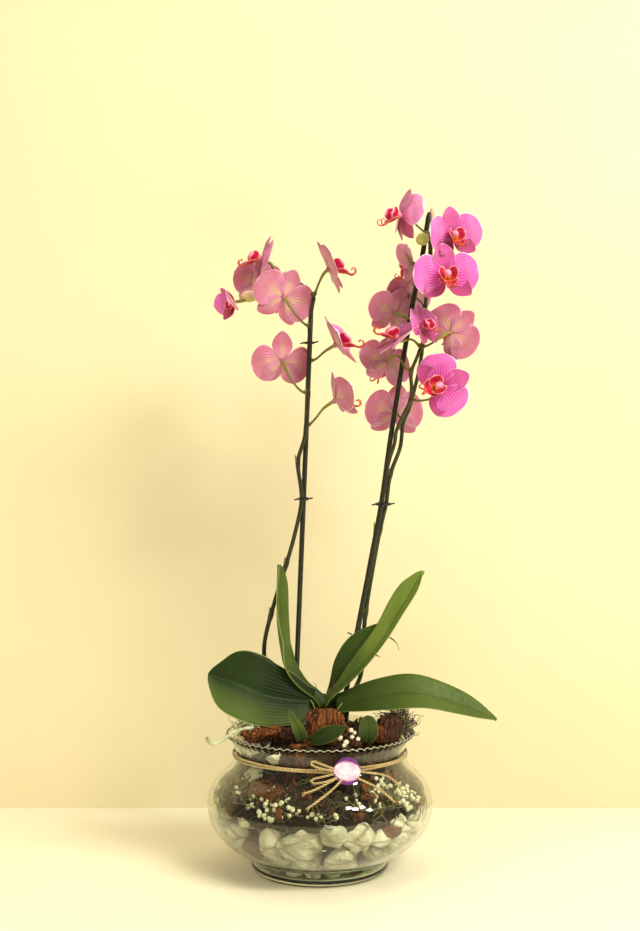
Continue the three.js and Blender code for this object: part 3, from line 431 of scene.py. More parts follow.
def plastic_material(name, first, second, rough):
    made, tree, shader = new_material(name, Roughness=rough)
    soft = place_group(tree, MOTTLE, Scale=120, Detail=4, Contrast=0.3)
    finish(tree, shader, blend(tree, soft["Patches"], first, second),
           ramp(tree, soft["Fine"], 0.3, 0.7, rough - 0.08, rough + 0.1), soft["Fine"], bump=0.15,
           depth=0.0003)
    return made


def label_material():
    """Pink-white middle and a purple rim that is wide at the top and the bottom."""
    made, tree, shader = new_material("label_card", Roughness=0.45, Coat_Weight=0.2, Coat_Roughness=0.2)
    out, turn = mark(tree, "along"), mark(tree, "across")
    soft = place_group(tree, MOTTLE, Scale=140, Detail=4, Contrast=0.2)
    wide = maths(tree, "MULTIPLY", maths(tree, "ABSOLUTE", maths(tree, "SINE", turn)), 0.42)
    blot = maths(tree, "MULTIPLY", maths(tree, "SUBTRACT", soft["Fine"], 0.5), 0.6)
    rim = ramp(tree, maths(tree, "ADD", maths(tree, "ADD", out, wide), blot), 1.02, 1.12)
    colour = blend(tree, soft["Patches"], rgb(232, 212, 222), rgb(214, 156, 192))
    colour = blend(tree, rim, colour, rgb(98, 26, 112))
    finish(tree, shader, colour, height=soft["Fine"], bump=0.1, depth=0.0002)
    return made


def glass_material():
    made, tree, shader = new_material("bowl_glass", Base_Color=rgb(231, 235, 225), Roughness=0.015, IOR=1.45,
                                      Transmission_Weight=1.0, Metallic=0.0)
    soft = place_group(tree, MOTTLE, Scale=14, Detail=2, Contrast=0.3)
    raised = node(tree, "ShaderNodeBump", {"Height": soft["Patches"], "Strength": 0.04, "Distance": 0.0008})
    tree.links.new(raised.outputs[0], shader.inputs["Normal"])
    clear = node(tree, "ShaderNodeBsdfTransparent", {"Color": rgb(240, 243, 234)})
    rays = node(tree, "ShaderNodeLightPath")
    both = node(tree, "ShaderNodeMixShader",
                {0: rays.outputs["Is Shadow Ray"], 1: shader.outputs[0], 2: clear.outputs[0]})
    tree.links.new(both.outputs[0], tree.nodes["Material Output"].inputs["Surface"])
    return made


def stage_material(name, colour, one_sided):
    made, tree, shader = new_material(name, Base_Color=colour, Roughness=0.9)
    soft = place_group(tree, MOTTLE, Scale=3, Detail=3, Contrast=0.4)
    warmer = (colour[0] * 0.98, colour[1] * 0.96, colour[2] * 0.9, 1)
    finish(tree, shader, blend(tree, soft["Patches"], colour, warmer))
    if one_sided:
        clear = node(tree, "ShaderNodeBsdfTransparent")
        side = node(tree, "ShaderNodeNewGeometry")
        both = node(tree, "ShaderNodeMixShader",
                    {0: side.outputs["Backfacing"], 1: shader.outputs[0], 2: clear.outputs[0]})
        tree.links.new(both.outputs[0], tree.nodes["Material Output"].inputs["Surface"])
    return made


PETAL, LIP, COLUMN, LEAF = petal_material(), lip_material(), column_material(), leaf_material()
SPIKE = stalk_material("flower_spike", rgb(22, 24, 14), rgb(44, 42, 22), rgb(128, 126, 58))
BROWN_SPIKE = stalk_material("brown_spike", rgb(46, 38, 20), rgb(72, 60, 30), rgb(146, 140, 58))
GREEN_SPIKE = stalk_material("green_spike", rgb(26, 34, 14), rgb(48, 58, 24), rgb(136, 144, 66))
BUD = stalk_material("closed_bud", rgb(150, 152, 66), rgb(190, 188, 110), rgb(232, 190, 176))
ROOT = stalk_material("aerial_root", rgb(176, 182, 142), rgb(208, 210, 180), rgb(112, 122, 74))
PALE_STONE = stone_material("pale_stone", rgb(255, 252, 240), rgb(234, 222, 196), rgb(132, 98, 62))
GREY_STONE = stone_material("grey_stone", rgb(236, 236, 218), rgb(192, 192, 168), rgb(150, 118, 88))
RED_STONE = stone_material("red_stone", rgb(160, 104, 76), rgb(112, 72, 54), rgb(66, 42, 34))
BARK = bark_material("orange_bark", rgb(158, 92, 42), rgb(100, 52, 24), rgb(36, 22, 12))
DARK_BARK = bark_material("dark_bark", rgb(104, 58, 34), rgb(62, 34, 22), rgb(24, 15, 10))
SOIL = soil_material()
MOSS = fibre_material("dry_moss", rgb(44, 34, 18), rgb(92, 68, 34), 200)
OLIVE_MOSS = fibre_material("olive_moss", rgb(86, 88, 40), rgb(132, 116, 62), 200)
LICHEN = fibre_material("pale_lichen", rgb(178, 180, 140), rgb(212, 210, 176), 200)
# The last colour is painted shade for the dips between the twine's strands.
TWINE = fibre_material("jute_twine", rgb(208, 184, 126), rgb(152, 124, 74), 260, rgb(72, 50, 26))
BLOSSOM = fibre_material("dried_blossom", rgb(250, 244, 222), rgb(222, 206, 160), 500)
TWIG = fibre_material("dried_twig", rgb(150, 134, 84), rgb(108, 92, 54), 300)
STAKE = plastic_material("stake_coat", rgb(20, 22, 14), rgb(34, 34, 22), 0.42)
CLIP = plastic_material("clip_plastic", rgb(12, 12, 12), rgb(26, 26, 26), 0.35)
LABEL, CLEAR_GLASS = label_material(), glass_material()
# Opaque pale paint for a thin tube along the rim: a painted highlight in place of the white glints on the
# glass rim's scalloped edge.
RIM_HIGHLIGHT_PAINT = plastic_material("glass_rim_painted_highlight", rgb(206, 206, 178), rgb(160, 160, 132), 0.12)


# ---------------------------------------- mesh tools
class Shape:
    """Points, faces, a material index for each face and named marks for each point."""

    def __init__(self):
        self.points, self.faces, self.kinds, self.marks = [], [], [], {}

    def add(self, points, faces, kind=0, **marks):
        start = len(self.points)
        self.points += [tuple(p) for p in points]
        self.faces += [tuple(start + i for i in face) for face in faces]
        self.kinds += [kind] * len(faces)
        for name, values in marks.items():
            row = self.marks.setdefault(name, [])
            row += [0.0] * (start - len(row))
            row += list(values) if hasattr(values, "__len__") else [values] * len(points)

    def make(self, name, slot, materials, nodes=()):
        mesh = bpy.data.meshes.new(name)
        mesh.from_pydata([(x * MM, y * MM, z * MM) for x, y, z in self.points], [], self.faces)
        mesh.validate()
        for material in materials:
            mesh.materials.append(material)
        mesh.polygons.foreach_set("material_index", self.kinds)
        mesh.polygons.foreach_set("use_smooth", [True] * len(self.kinds))
        for label, values in self.marks.items():
            values += [0.0] * (len(self.points) - len(values))
            mesh.attributes.new(label, "FLOAT", "POINT").data.foreach_set("value", values)
        piece = bpy.data.objects.new(name, mesh)
        bpy.context.collection.objects.link(piece)
        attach(piece, "root")
        if nodes:
            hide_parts(*nodes)
        return piece


def strip(points, count):
    """Evenly spaced places on a smooth line through points, each with its direction and share."""
    given = [Vector(p) for p in points]
    given = [2 * given[0] - given[1], *given, 2 * given[-1] - given[-2]]
    fine = []
    for a, b, c, d in zip(given, given[1:], given[2:], given[3:]):
        knots = [0.0]
        for p, q in ((a, b), (b, c), (c, d)):
            knots.append(knots[-1] + max((q - p).length, 1e-6) ** 0.5)
        t0, t1, t2, t3 = knots
        for step in range(12):
            t = t1 + (t2 - t1) * step / 12
            ab = a.lerp(b, (t - t0) / (t1 - t0))
            bc = b.lerp(c, (t - t1) / (t2 - t1))
            cd = c.lerp(d, (t - t2) / (t3 - t2))
            low, high = ab.lerp(bc, (t - t0) / (t2 - t0)), bc.lerp(cd, (t - t1) / (t3 - t1))
            fine.append(low.lerp(high, (t - t1) / (t2 - t1)))
    fine.append(given[-2])
    far = [0.0]
    for p, q in zip(fine, fine[1:]):
        far.append(far[-1] + (q - p).length)
    out, i = [], 0
    for k in range(count):
        want = far[-1] * k / (count - 1)
        while i < len(far) - 2 and far[i + 1] < want:
            i += 1
        share = (want - far[i]) / max(far[i + 1] - far[i], 1e-9)
        out.append((fine[i].lerp(fine[i + 1], share), (fine[i + 1] - fine[i]).normalized(), k / (count - 1)))
    return out


def skin(rings, closed=False):
    """Faces and points that join rings of equal count."""
    count = len(rings[0])
    points = [p for ring in rings for p in ring]
    faces = []
    for i in range(len(rings) if closed else len(rings) - 1):
        low, high = i * count, ((i + 1) % len(rings)) * count
        faces += [(low + k, low + (k + 1) % count, high + (k + 1) % count, high + k) for k in range(count)]
    if not closed:
        faces.append(tuple(reversed(range(count))))
        faces.append(tuple(range(len(points) - count, len(points))))
    return points, faces


def tube(shape, points, radius, sides=12, count=None, kind=0, lobes=0, pitch=1.0, along=None, round_end=True):
    """A stem of changing radius; with lobes it is a twisted cord of that many strands."""
    line = strip(points, count or 4 * len(points))
    length = sum((q[0] - p[0]).length for p, q in zip(line, line[1:]))
    across = Vector((0.97, 0.21, 0.09))
    rings, marks, crowns = [], [], []
    for place, way, t in line:
        across = (across - way * across.dot(way)).normalized()
        up = way.cross(across)
        wide = radius(t) if callable(radius) else radius
        if round_end and t == 1:
            wide *= 0.55
        twist = TURN * t * length / pitch
        ring = []
        for k in range(sides):
            a = TURN * k / sides
            crown = abs(math.cos(lobes * (a - twist) / 2)) if lobes else 1.0
            r = wide * (1 - STRAND_DIP + STRAND_DIP * crown) if lobes else wide
            ring.append(place + across * (r * math.cos(a)) + up * (r * math.sin(a)))
            crowns.append(crown)
        rings.append(ring)
        marks += [along(t) if along else t] * sides
    points, faces = skin(rings)
    shape.add(points, faces, kind, along=marks, front=crowns)
    return [place for place, _, _ in line]


def bumpy_ball(rows=10, cols=14):
    points = [Vector((0, 0, 1))]
    for i in range(1, rows):
        a = math.pi * i / rows
        for k in range(cols):
            b = TURN * (k + 0.5 * (i % 2)) / cols
            points.append(Vector((math.sin(a) * math.cos(b), math.sin(a) * math.sin(b), math.cos(a))))
    points.append(Vector((0, 0, -1)))
    faces = [(0, 1 + k, 1 + (k + 1) % cols) for k in range(cols)]
    for i in range(rows - 2):
        low, high = 1 + i * cols, 1 + (i + 1) * cols
        for k in range(cols):
            faces.append((low + k, high + k, high + (k + 1) % cols, low + (k + 1) % cols))
    last = 1 + (rows - 2) * cols
    faces += [(len(points) - 1, last + (k + 1) % cols, last + k) for k in range(cols)]
    return points, faces


def lump(shape, middle, half, seed, rough=0.12, cuts=0, kind=0, power=1.0, rows=12, cols=18, turn=None,
         bound=None, stretch=(1, 1, 1), **marks):
    """A closed lumpy solid: cuts give it flat broken faces, a low power squares it off."""
    dice = random.Random(seed)
    base, faces = bumpy_ball(rows, cols)
    planes = [Vector([dice.gauss(0, 1) for _ in range(3)]).normalized() for _ in range(cuts)]
    depths = [dice.uniform(0.55, 0.85) for _ in planes]
    turn = turn or Euler([dice.uniform(-0.4, 0.4), dice.uniform(-0.4, 0.4), dice.uniform(0, TURN)])
    out = []
    for p in base:
        v = Vector([math.copysign(abs(c) ** power, c) for c in p])
        for flat, depth in zip(planes, depths):
            over = v.dot(flat) - depth
            if over > 0:
                v -= flat * over * 0.92
        place = Vector([c * s for c, s in zip(v, stretch)]) * 1.6 + Vector((seed * 3.1, 0, 0))
        v = v * (1 + rough * noise.fractal(place, 0.8, 2.0, 3))
        v = Vector([c * h for c, h in zip(v, half)])
        v.rotate(turn)
        v += Vector(middle)
        out.append(bound(v) if bound else v)
    shape.add(out, faces, kind, **marks)


def polar(angle, radius=1, height=0):
    return Vector((radius * math.cos(angle), radius * math.sin(angle), height))


def upright_ring(centre, outward, wide, tall, sides):
    """One ring of a hoop, square to the way that the hoop runs."""
    return [centre + outward * (wide * math.cos(b)) + Vector((0, 0, tall * math.sin(b)))
            for b in (TURN * j / sides for j in range(sides))]


def of_box(name):
    """Middle and half-size of a design piece, in millimetres."""
    low, high = (Vector(corner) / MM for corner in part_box(name))
    return (low + high) / 2, (high - low) / 2


# ---------------------------------------- the bowl
def belly_radius(z):
    half = BELLY_UNDER if z < BELLY_Z else BELLY_OVER
    return BOWL_RADIUS * math.sqrt(max(0.0, 1 - ((z - BELLY_Z) / half) ** 2))


def outer_line():
    """Radius and height from the bottom of the belly to just under the rim."""
    start, top = WAIST_Z + 1.5, BELLY_TOP_Z
    line = [(belly_radius(start + (top - start) * k / 30), start + (top - start) * k / 30) for k in range(31)]
    swing, rise = RIM_RADIUS - NECK_RADIUS, RIM_Z - NECK_Z
    neck = [(line[-1][0], top), ((line[-1][0] + 2 * NECK_RADIUS) / 3 + 0.5, NECK_Z - 7),
            (NECK_RADIUS + 0.7, NECK_Z - 3.5), (NECK_RADIUS, NECK_Z),
            (NECK_RADIUS + 0.16 * swing, NECK_Z + 0.34 * rise),
            (NECK_RADIUS + 0.5 * swing, NECK_Z + 0.7 * rise), (RIM_RADIUS - 0.4, RIM_Z - 1.6)]
    smooth = strip([(r, 0, z) for r, z in neck], 24)
    return line[:-1] + [(place.x, place.z) for place, _, _ in smooth]


OUTER = outer_line()


def offset_line(distance):
    moved = []
    for i, (r, z) in enumerate(OUTER):
        (r0, z0), (r1, z1) = OUTER[max(i - 1, 0)], OUTER[min(i + 1, len(OUTER) - 1)]
        long = math.hypot(r1 - r0, z1 - z0)
        moved.append((r - distance * (z1 - z0) / long, z + distance * (r1 - r0) / long))
    return moved


INNER = offset_line(GLASS)


def inner_radius(z):
    if z < WAIST_Z + 3:
        return FOOT_RADIUS - GLASS - 2
    for (r0, z0), (r1, z1) in zip(INNER, INNER[1:]):
        if z0 <= z <= z1:
            return r0 + (r1 - r0) * (z - z0) / max(z1 - z0, 1e-6)
    return INNER[-1][0] if z > INNER[-1][1] else INNER[0][0]


def off_glass(turn, z, distance):
    return polar(math.radians(turn), inner_radius(z) - distance, z)


def keep_inside(v, gap=0.6):
    """Moves a point that would touch the glass back inside it."""
    v = v.copy()
    v.z = max(v.z, BASE_GLASS + gap)
    r, most = math.hypot(v.x, v.y), inner_radius(v.z) - gap
    if v.z < RIM_Z + 2 and r > most:
        v.x, v.y = v.x * most / r, v.y * most / r
    return v


def build_bowl():
    foot_in = FOOT_RADIUS - GLASS
    rows = [(0.5, 1.9), (FOOT_RADIUS - 11, 1.7), (FOOT_RADIUS - 6, 0.15), (FOOT_RADIUS - 3, 0),
            (FOOT_RADIUS, 0.3)]
    rows += [(FOOT_RADIUS + FOOT_BULGE * math.sin(math.pi * t) ** 0.6, 0.6 + 13 * t) for t in
             (0.04, 0.1, 0.2, 0.32, 0.45, 0.6, 0.75, 0.87, 0.95)]
    rows += [(FOOT_RADIUS - 1, WAIST_Z), (FOOT_RADIUS + 1.5, WAIST_Z + 0.9)] + OUTER
    lip = [(RIM_RADIUS + 0.1, RIM_Z - 0.7), (RIM_RADIUS - 0.7, RIM_Z - 0.1), (RIM_RADIUS - 1.7, RIM_Z),
           (RIM_RADIUS - 2.6, RIM_Z - 0.5)]
    inner = [(r, z) for r, z in reversed(INNER) if z < RIM_Z - 1.2 and r > foot_in + 3]
    foot_inner = [(FOOT_RADIUS - GLASS + FOOT_BULGE * math.sin(math.pi * t) ** 0.6, 0.6 + 13 * t)
                  for t in (0.95, 0.85, 0.72, 0.6, 0.5)]
    floor = [(foot_in, BASE_GLASS + 0.6), (foot_in - 4, BASE_GLASS), (0.5, BASE_GLASS)]
    rows += lip + inner + [(foot_in + 1, WAIST_Z + 2)] + foot_inner + floor
    rings = []
    for r, z in rows:
        weight = max(0.0, min(1.0, (z - (RIM_Z - 7)) / 6))
        ring = []
        for k in range(RIM_SIDES):
            a = TURN * k / RIM_SIDES
            wave = 0.5 - 0.5 * math.cos(SCALLOPS * a)
            ripple = weight * (0.9 * wave - 0.3)
            ring.append(((r + ripple) * math.cos(a), (r + ripple) * math.sin(a),
                         z - weight * 0.95 * SCALLOP_DEPTH * wave))
        rings.append(ring)
    shape = Shape()
    shape.add(*skin(rings))
    shape.make("bowl", "glass", [CLEAR_GLASS], ["glass_bowl"])
    # A thin opaque tube along the scalloped top edge, painted pale: a painted highlight in place of the
    # glints on the rim.
    bead, rings = Shape(), []
    for k in range(RIM_SIDES):
        a = TURN * k / RIM_SIDES
        wave = 0.5 - 0.5 * math.cos(SCALLOPS * a)
        out, height = polar(a), RIM_Z - 0.1 - 0.95 * SCALLOP_DEPTH * wave
        middle = out * (RIM_RADIUS + 0.9 * wave - 0.6) + Vector((0, 0, height))
        rings.append(upright_ring(middle, out, BEAD_RADIUS, BEAD_RADIUS, BEAD_SIDES))
    bead.add(*skin(rings, closed=True))
    bead.make("rim_painted_highlight_bead", "glass", [RIM_HIGHLIGHT_PAINT])


# ---------------------------------------- gravel, planting mix, bark, moss
def build_stones():
    looks = {"stone_cream": (PALE_STONE, "pale_stone", 3), "stone_green": (GREY_STONE, "grey_stone", 5),
             "stone_round": (GREY_STONE, "grey_stone", 1), "stone_quartz": (PALE_STONE, "pale_stone", 7),
             "stone_neck": (PALE_STONE, "pale_stone", 3)}
    taken = []
    for seed, (name, (material, slot, cuts)) in enumerate(looks.items()):
        middle, half = of_box(name)
        taken.append((middle, max(half)))
        shape = Shape()
        if name == "stone_neck":
            middle, half = middle + Vector((0, 0, 3)), half * 1.22
        lump(shape, middle, half * 1.04, 20 + seed, 0.16, cuts, rows=26, cols=36, turn=Euler((0, 0, 0.2)),
             bound=keep_inside, tone=0.15)
        shape.make(name.replace("stone_", "") + "_stone", slot, [material], [name])
    pale, grey, red = Shape(), Shape(), Shape()
    layers = [(12, 56, 15, 9.5), (10, 36, 9, 9), (10, 14, 3, 9), (24, 68, 15, 11.5), (22, 48, 9, 11),
              (37, 84, 19, 12), (50, 92, 20, 12.5), (36, 66, 12, 12), (56, 78, 14, 11), (62, 94, 16, 9)]
    seed = 100
    for z, r, count, size in layers:
        for k in range(count):
            seed += 1
            dice = random.Random(seed)
            a = TURN * (k + dice.uniform(-0.25, 0.25)) / count
            middle = polar(a, r, z + dice.uniform(-2.5, 2.5))
            half = [size * dice.uniform(0.75, 1.3) for _ in range(2)] + [size * dice.uniform(0.6, 0.95)]
            if any((middle - other).length < 0.75 * (reach + size) for other, reach in taken):
                continue
            pick = dice.random()
            shape = red if pick < 0.16 else grey if pick < 0.5 else pale
            lump(shape, middle, half, seed, 0.15, dice.randint(2, 6), rows=14, cols=20, bound=keep_inside,
                 tone=dice.uniform(0, 0.6))
    pale.make("gravel_pale", "gravel", [PALE_STONE], ["stone_bed"])
    grey.make("gravel_grey", "gravel", [GREY_STONE])
    red.make("gravel_red", "gravel", [RED_STONE])
    loose = Shape()
    lump(loose, off_glass(-48, 56, 11), (12, 9, 8.5), 61, 0.2, 5, rows=22, cols=30, bound=keep_inside,
         tone=0.3)
    lump(loose, off_glass(-141, 104, 6), (9, 14, 11), 62, 0.16, 3, rows=22, cols=30, turn=Euler((0, 0, 0.68)),
         bound=keep_inside, tone=0.3, kind=1)
    lump(loose, off_glass(-123, 124, 7), (11, 6, 6), 63, 0.14, 5, rows=22, cols=30, turn=Euler((0, 0.2, 0.5)),
         bound=keep_inside, tone=0.1, kind=2)
    loose.make("loose_stones", "gravel", [RED_STONE, GREY_STONE, PALE_STONE])


def mound_line():
    neck, wide, low = NECK_RADIUS - GLASS - 3.4, BOWL_RADIUS - GLASS - 9.7, 58
    return [(0.5, low), (wide - 14, low), (wide - 3, low + 3), (wide, 67), (wide, 75), (wide - 5, 87),
            (neck + 8, 97), (neck, 108), (neck, 121), (neck - 2, 127), (neck - 12, 134), (45, 140), (22, 145),
            (0.5, 146)]


def build_mix():
    line = strip([(r, 0, z) for r, z in mound_line()], 90)
    rings = []
    for place, _, _ in line:
        ring = []
        for k in range(MIX_SIDES):
            v = polar(TURN * k / MIX_SIDES, place.x, place.z)
            push = 3.2 * noise.fractal(v * 0.06, 0.7, 2.1, 5)
            v += Vector((v.x, v.y, 0)).normalized() * push + Vector((0, 0, 0.8 * push))
            back = max(0.0, min(1.0, (v.y - 40) / 8)) * max(0.0, min(1.0, (40 - abs(v.x)) / 6))
            if v.z > HOLLOW_Z:
                v.z -= (v.z - HOLLOW_Z) * back
            ring.append(keep_inside(v))
        rings.append(ring)
    shape = Shape()
    shape.add(*skin(rings))
    shape.make("planting_mix_body", "mix", [SOIL], ["planting_mix"])


def scatter_chips():
    """Bark crumbs all over the mix: against the glass and on top."""
    shape = Shape()
    dice = random.Random(5)
    for number in range(CRUMBS):
        a = dice.uniform(0, TURN)
        if number % 3:
            z = dice.uniform(72, 126)
            middle = off_glass(math.degrees(a), z, dice.uniform(3.5, 8.5) if z < 90 else dice.uniform(2.5, 5))
        else:
            r = MIX_TOP_RADIUS * math.sqrt(dice.random())
            middle = polar(a, r, MIX_TOP_Z - 12 * (r / MIX_TOP_RADIUS) ** 2 + dice.uniform(-1, 2))
            if middle.y > 38 and abs(middle.x) < 44:
                continue
        size = dice.uniform(3.2, 8.5)
        half = (size, size * dice.uniform(0.4, 0.7), size * dice.uniform(0.2, 0.4))
        turn = Euler([dice.uniform(0, TURN) for _ in range(3)])
        lump(shape, middle, half, 500 + number, 0.25, 3, kind=dice.choice((0, 1, 1)), power=0.7, rows=7,
             cols=10, turn=turn, bound=keep_inside)
    shape.make("bark_crumbs", "bark", [BARK, DARK_BARK])


def bark_piece(name, pieces, node_name=None):
    shape = Shape()
    for seed, (middle, half, lean, kind) in enumerate(pieces):
        lump(shape, middle, half, 70 + 5 * len(name) + seed, 0.3, 2, kind=kind, power=0.55, rows=30, cols=44,
             turn=Euler(lean), stretch=(5.5, 2.0, 0.6), bound=keep_inside)
    shape.make(name, "bark", [BARK, DARK_BARK], [node_name] if node_name else [])


def build_bark():
    for name, lean, kind in (("bark_front", (0.2, 0.06, 0.05), 0), ("bark_left", (0.3, -0.08, 0.35), 0),
                             ("bark_right", (0.15, 0.2, 0.5), 1)):
        middle, _ = of_box(name)
        extra = {"bark_left": [(middle + Vector((20, -6, 2)), (11, 5, 4), (0.5, 0.3, -0.2), 1),
                               (middle + Vector((6, -9, 5)), (9, 4, 3.4), (0.1, -0.4, 0.1), 0)],
                 "bark_right": [(middle + Vector((-14, -10, -2)), (9, 6, 8), (0.2, 0.1, 0), 0)]}.get(name, [])
        slim = {"bark_front": (18, 4.4, 17.5), "bark_left": (21, 8, 5.5), "bark_right": (14, 6, 13)}[name]
        bark_piece(name + "_chip", [(middle, slim, lean, kind), *extra], name)
    bark_piece("bark_by_glass", [(off_glass(-125, 91, 7), (19, 8, 11), (-0.2, 0.15, -0.5), 0),
                                 (off_glass(-112, 118, 6), (9, 4, 12), (0, 0, 0), 1),
                                 (off_glass(-103, 124, 5), (6, 3, 10), (0.1, 0.1, 0), 0)])


def curl(shape, start, way, length, width, dice, kind=0, loose=1.0):
    """One thread of moss that wanders from its start."""
    points, place, heading = [start], Vector(start), Vector(way).normalized()
    for _ in range(6):
        heading = (heading + Vector([dice.gauss(0, 0.55 * loose) for _ in range(3)])).normalized()
        place = place + heading * length / 6
        points.append(place.copy())
    tube(shape, points, lambda t: width * (1 - 0.6 * t), 5, 14, kind)


def build_moss():
    for name, count, spread, main in (("moss_left", 120, (10, 11, 6), LICHEN),
                                      ("moss_right", 360, (12, 18, 11), MOSS)):
        middle, _ = of_box(name)
        dice = random.Random(len(name))
        shape = Shape()
        for _ in range(count):
            start = middle + Vector([dice.gauss(0, 0.5) * s for s in spread])
            curl(shape, start, (start - middle) + Vector((0, 0, 3)), dice.uniform(9, 20), 0.5, dice,
                 kind=1 if dice.random() < 0.2 else 0, loose=1.25)
        shape.make(name + "_threads", "moss", [main, OLIVE_MOSS], [name])
    inside = Shape()
    dice = random.Random(31)
    for number in range(GLASS_THREADS):
        start = off_glass(dice.uniform(0, 360), dice.uniform(70, 114), dice.uniform(3.2, 6.5))
        side = Vector((-start.y, start.x, 0)).normalized() * dice.choice((-1, 1))
        side += Vector((0, 0, dice.uniform(-0.8, 0.8)))
        points, place = [start], start
        for _ in range(6):
            side = (side + Vector([dice.gauss(0, 0.35) for _ in range(3)])).normalized()
            place = keep_inside(place + side * dice.uniform(2, 5), 2.2)
            points.append(place)
        tube(inside, points, 0.5, 5, 12, kind=number % 2)
    inside.make("moss_in_glass", "moss", [MOSS, OLIVE_MOSS])
    top = Shape()
    for start, way, length in (((14, -6, 176), (0.1, -0.2, 1), 16), ((-2, -8, 178), (-0.3, 0, 1), 13),
                               ((-76, -26, 148), (-0.3, 0, 1), 18), ((8, -2, 178), (0.5, 0.1, 1), 12)):
        curl(top, Vector(start), way, length, 0.45, dice, loose=0.7)
    dry = (((40, 25, 236), (58, 12, 234), (70, 5, 230), (77, 3, 224), (79, 3, 217)),
           ((46, 8, 212), (54, 5, 213), (61, 4, 210)), ((28, 12, 234), (32, 11, 232), (33, 11, 229)))
    for line in dry:
        tube(top, line, lambda t: 0.9 - 0.5 * t + 0.2 * math.sin(19 * t), 7, 30)
    top.make("stray_threads", "moss", [MOSS])


# ---------------------------------------- leaves, crown and root
LEAVES = {
    "leaf_broad_left": (
        [(-6, -8, 168), (-30, -16, 171), (-54, -20, 176), (-80, -22, 187), (-100, -22, 194),
         (-110, -22, 198)],
        # The tone pair paints the low edge lighter as painted light and the rest dark as painted shade.
        [12, 25, 32, 35, 31, 13], [(0.1, 0.45, 0.88), (0.1, 0.45, 0.88)], 0.2, (0.5, 0.0)),
    "leaf_upright_left": (
        [(3, -5, 163), (-1, -3, 170), (-19, -5, 184), (-32, -4, 200), (-37, 0, 221), (-40.5, 4, 248),
         (-41, 5, 277), (-40, 5, 303)],
        [6, 8, 13, 15, 15, 14, 13, 8],
        [(0.62, 0.7, 0.3), (0.5, 0.85, 0.1), (0.15, 1, 0), (0.4, 0.9, 0), (0.48, 0.88, 0)], 0.3, 0.48),
    "leaf_upright_right": (
        [(5, -3, 163), (10, -4, 171), (25, -9, 186), (47, -13, 210), (65, -14, 235), (80, -13, 261),
         (93.5, -11, 282), (102, -8, 298)],
        [6, 8, 14, 17, 17, 17, 16, 10], [(0.3, -0.93, -0.2), (0.35, -0.9, -0.3)], 0.32, 0.9),
    "leaf_behind_right": (
        [(8, 9, 166), (14, 11, 178), (24, 12, 199), (38, 12, 219), (54, 11, 234), (66, 10, 246)],
        [4, 7, 12, 13, 9, 2], [(0.7, -0.35, -0.6), (0.6, -0.4, -0.7)], 0.2, 0.2),
    "leaf_arching_right": (
        [(16, -10, 165), (38, -14, 170), (66, -15, 175), (96, -14, 177), (134, -11, 167), (176, -8, 150)],
        [10, 17, 20, 17, 13, 5], [(-0.03, -0.62, -0.78), (-0.05, -0.7, -0.7)], 0.24, 0.42),
    "leaf_small_left": (
        [(-17, -62, 141), (-20, -64, 150), (-25, -65, 160), (-30, -65, 171)],
        [5.5, 5.8, 3.8, 0.4], [(0.95, 0.1, 0.35), (0.95, 0.1, 0.35)], 0.3, 0.4),
    "leaf_small_front": (
        [(-9, -65, 140.5), (3, -68, 145), (15, -69, 150), (26, -68, 155)],
        [4, 7.5, 7, 0.5], [(0.35, -0.45, -0.85), (0.35, -0.45, -0.85)], 0.25, 0.05),
    "leaf_small_right": (
        [(45, -60, 138), (46, -62, 147), (46, -62, 156), (45, -61, 164)],
        [6, 8.5, 8.5, 5], [(1, 0.1, 0), (1, 0.1, 0)], 0.2, 0.15),
}


def between(values, t):
    """A smooth reading of a short list at a share of its length."""
    f = t * (len(values) - 1)
    i = min(int(f), len(values) - 2)
    s = f - i
    a, b = values[i], values[i + 1]
    before, after = values[max(i - 1, 0)], values[min(i + 2, len(values) - 1)]
    return 0.5 * (2 * a + (b - before) * s + (2 * before - 5 * a + 4 * b - after) * s * s
                  + (3 * a - before - 3 * b + after) * s ** 3)


def close_sheet(shape, front, back, marks, cols, flip, kind=0, **more):
    """Joins two skins of points along all four rims. Both are laid out in rows that are cols faces wide."""
    across, size, faces = cols + 1, len(front), []
    for a in range(0, size - across, across):
        b = a + across
        for k in range(cols):
            faces += [(a + k, a + k + 1, b + k + 1, b + k),
                      (size + a + k, size + b + k, size + b + k + 1, size + a + k + 1)]
        faces += [(a, b, size + b, size + a), (a + cols, size + a + cols, size + b + cols, b + cols)]
    last = size - across
    for k in range(cols):
        faces += [(k, size + k, size + k + 1, k + 1),
                  (last + k, last + k + 1, size + last + k + 1, size + last + k)]
    if flip:
        faces = [(a, d, c, b) for a, b, c, d in faces]
    shape.add(front + back, faces, kind, along=[v for v, _ in marks] * 2, across=[u for _, u in marks] * 2,
              front=[1.0] * size + [0.0] * size, **more)


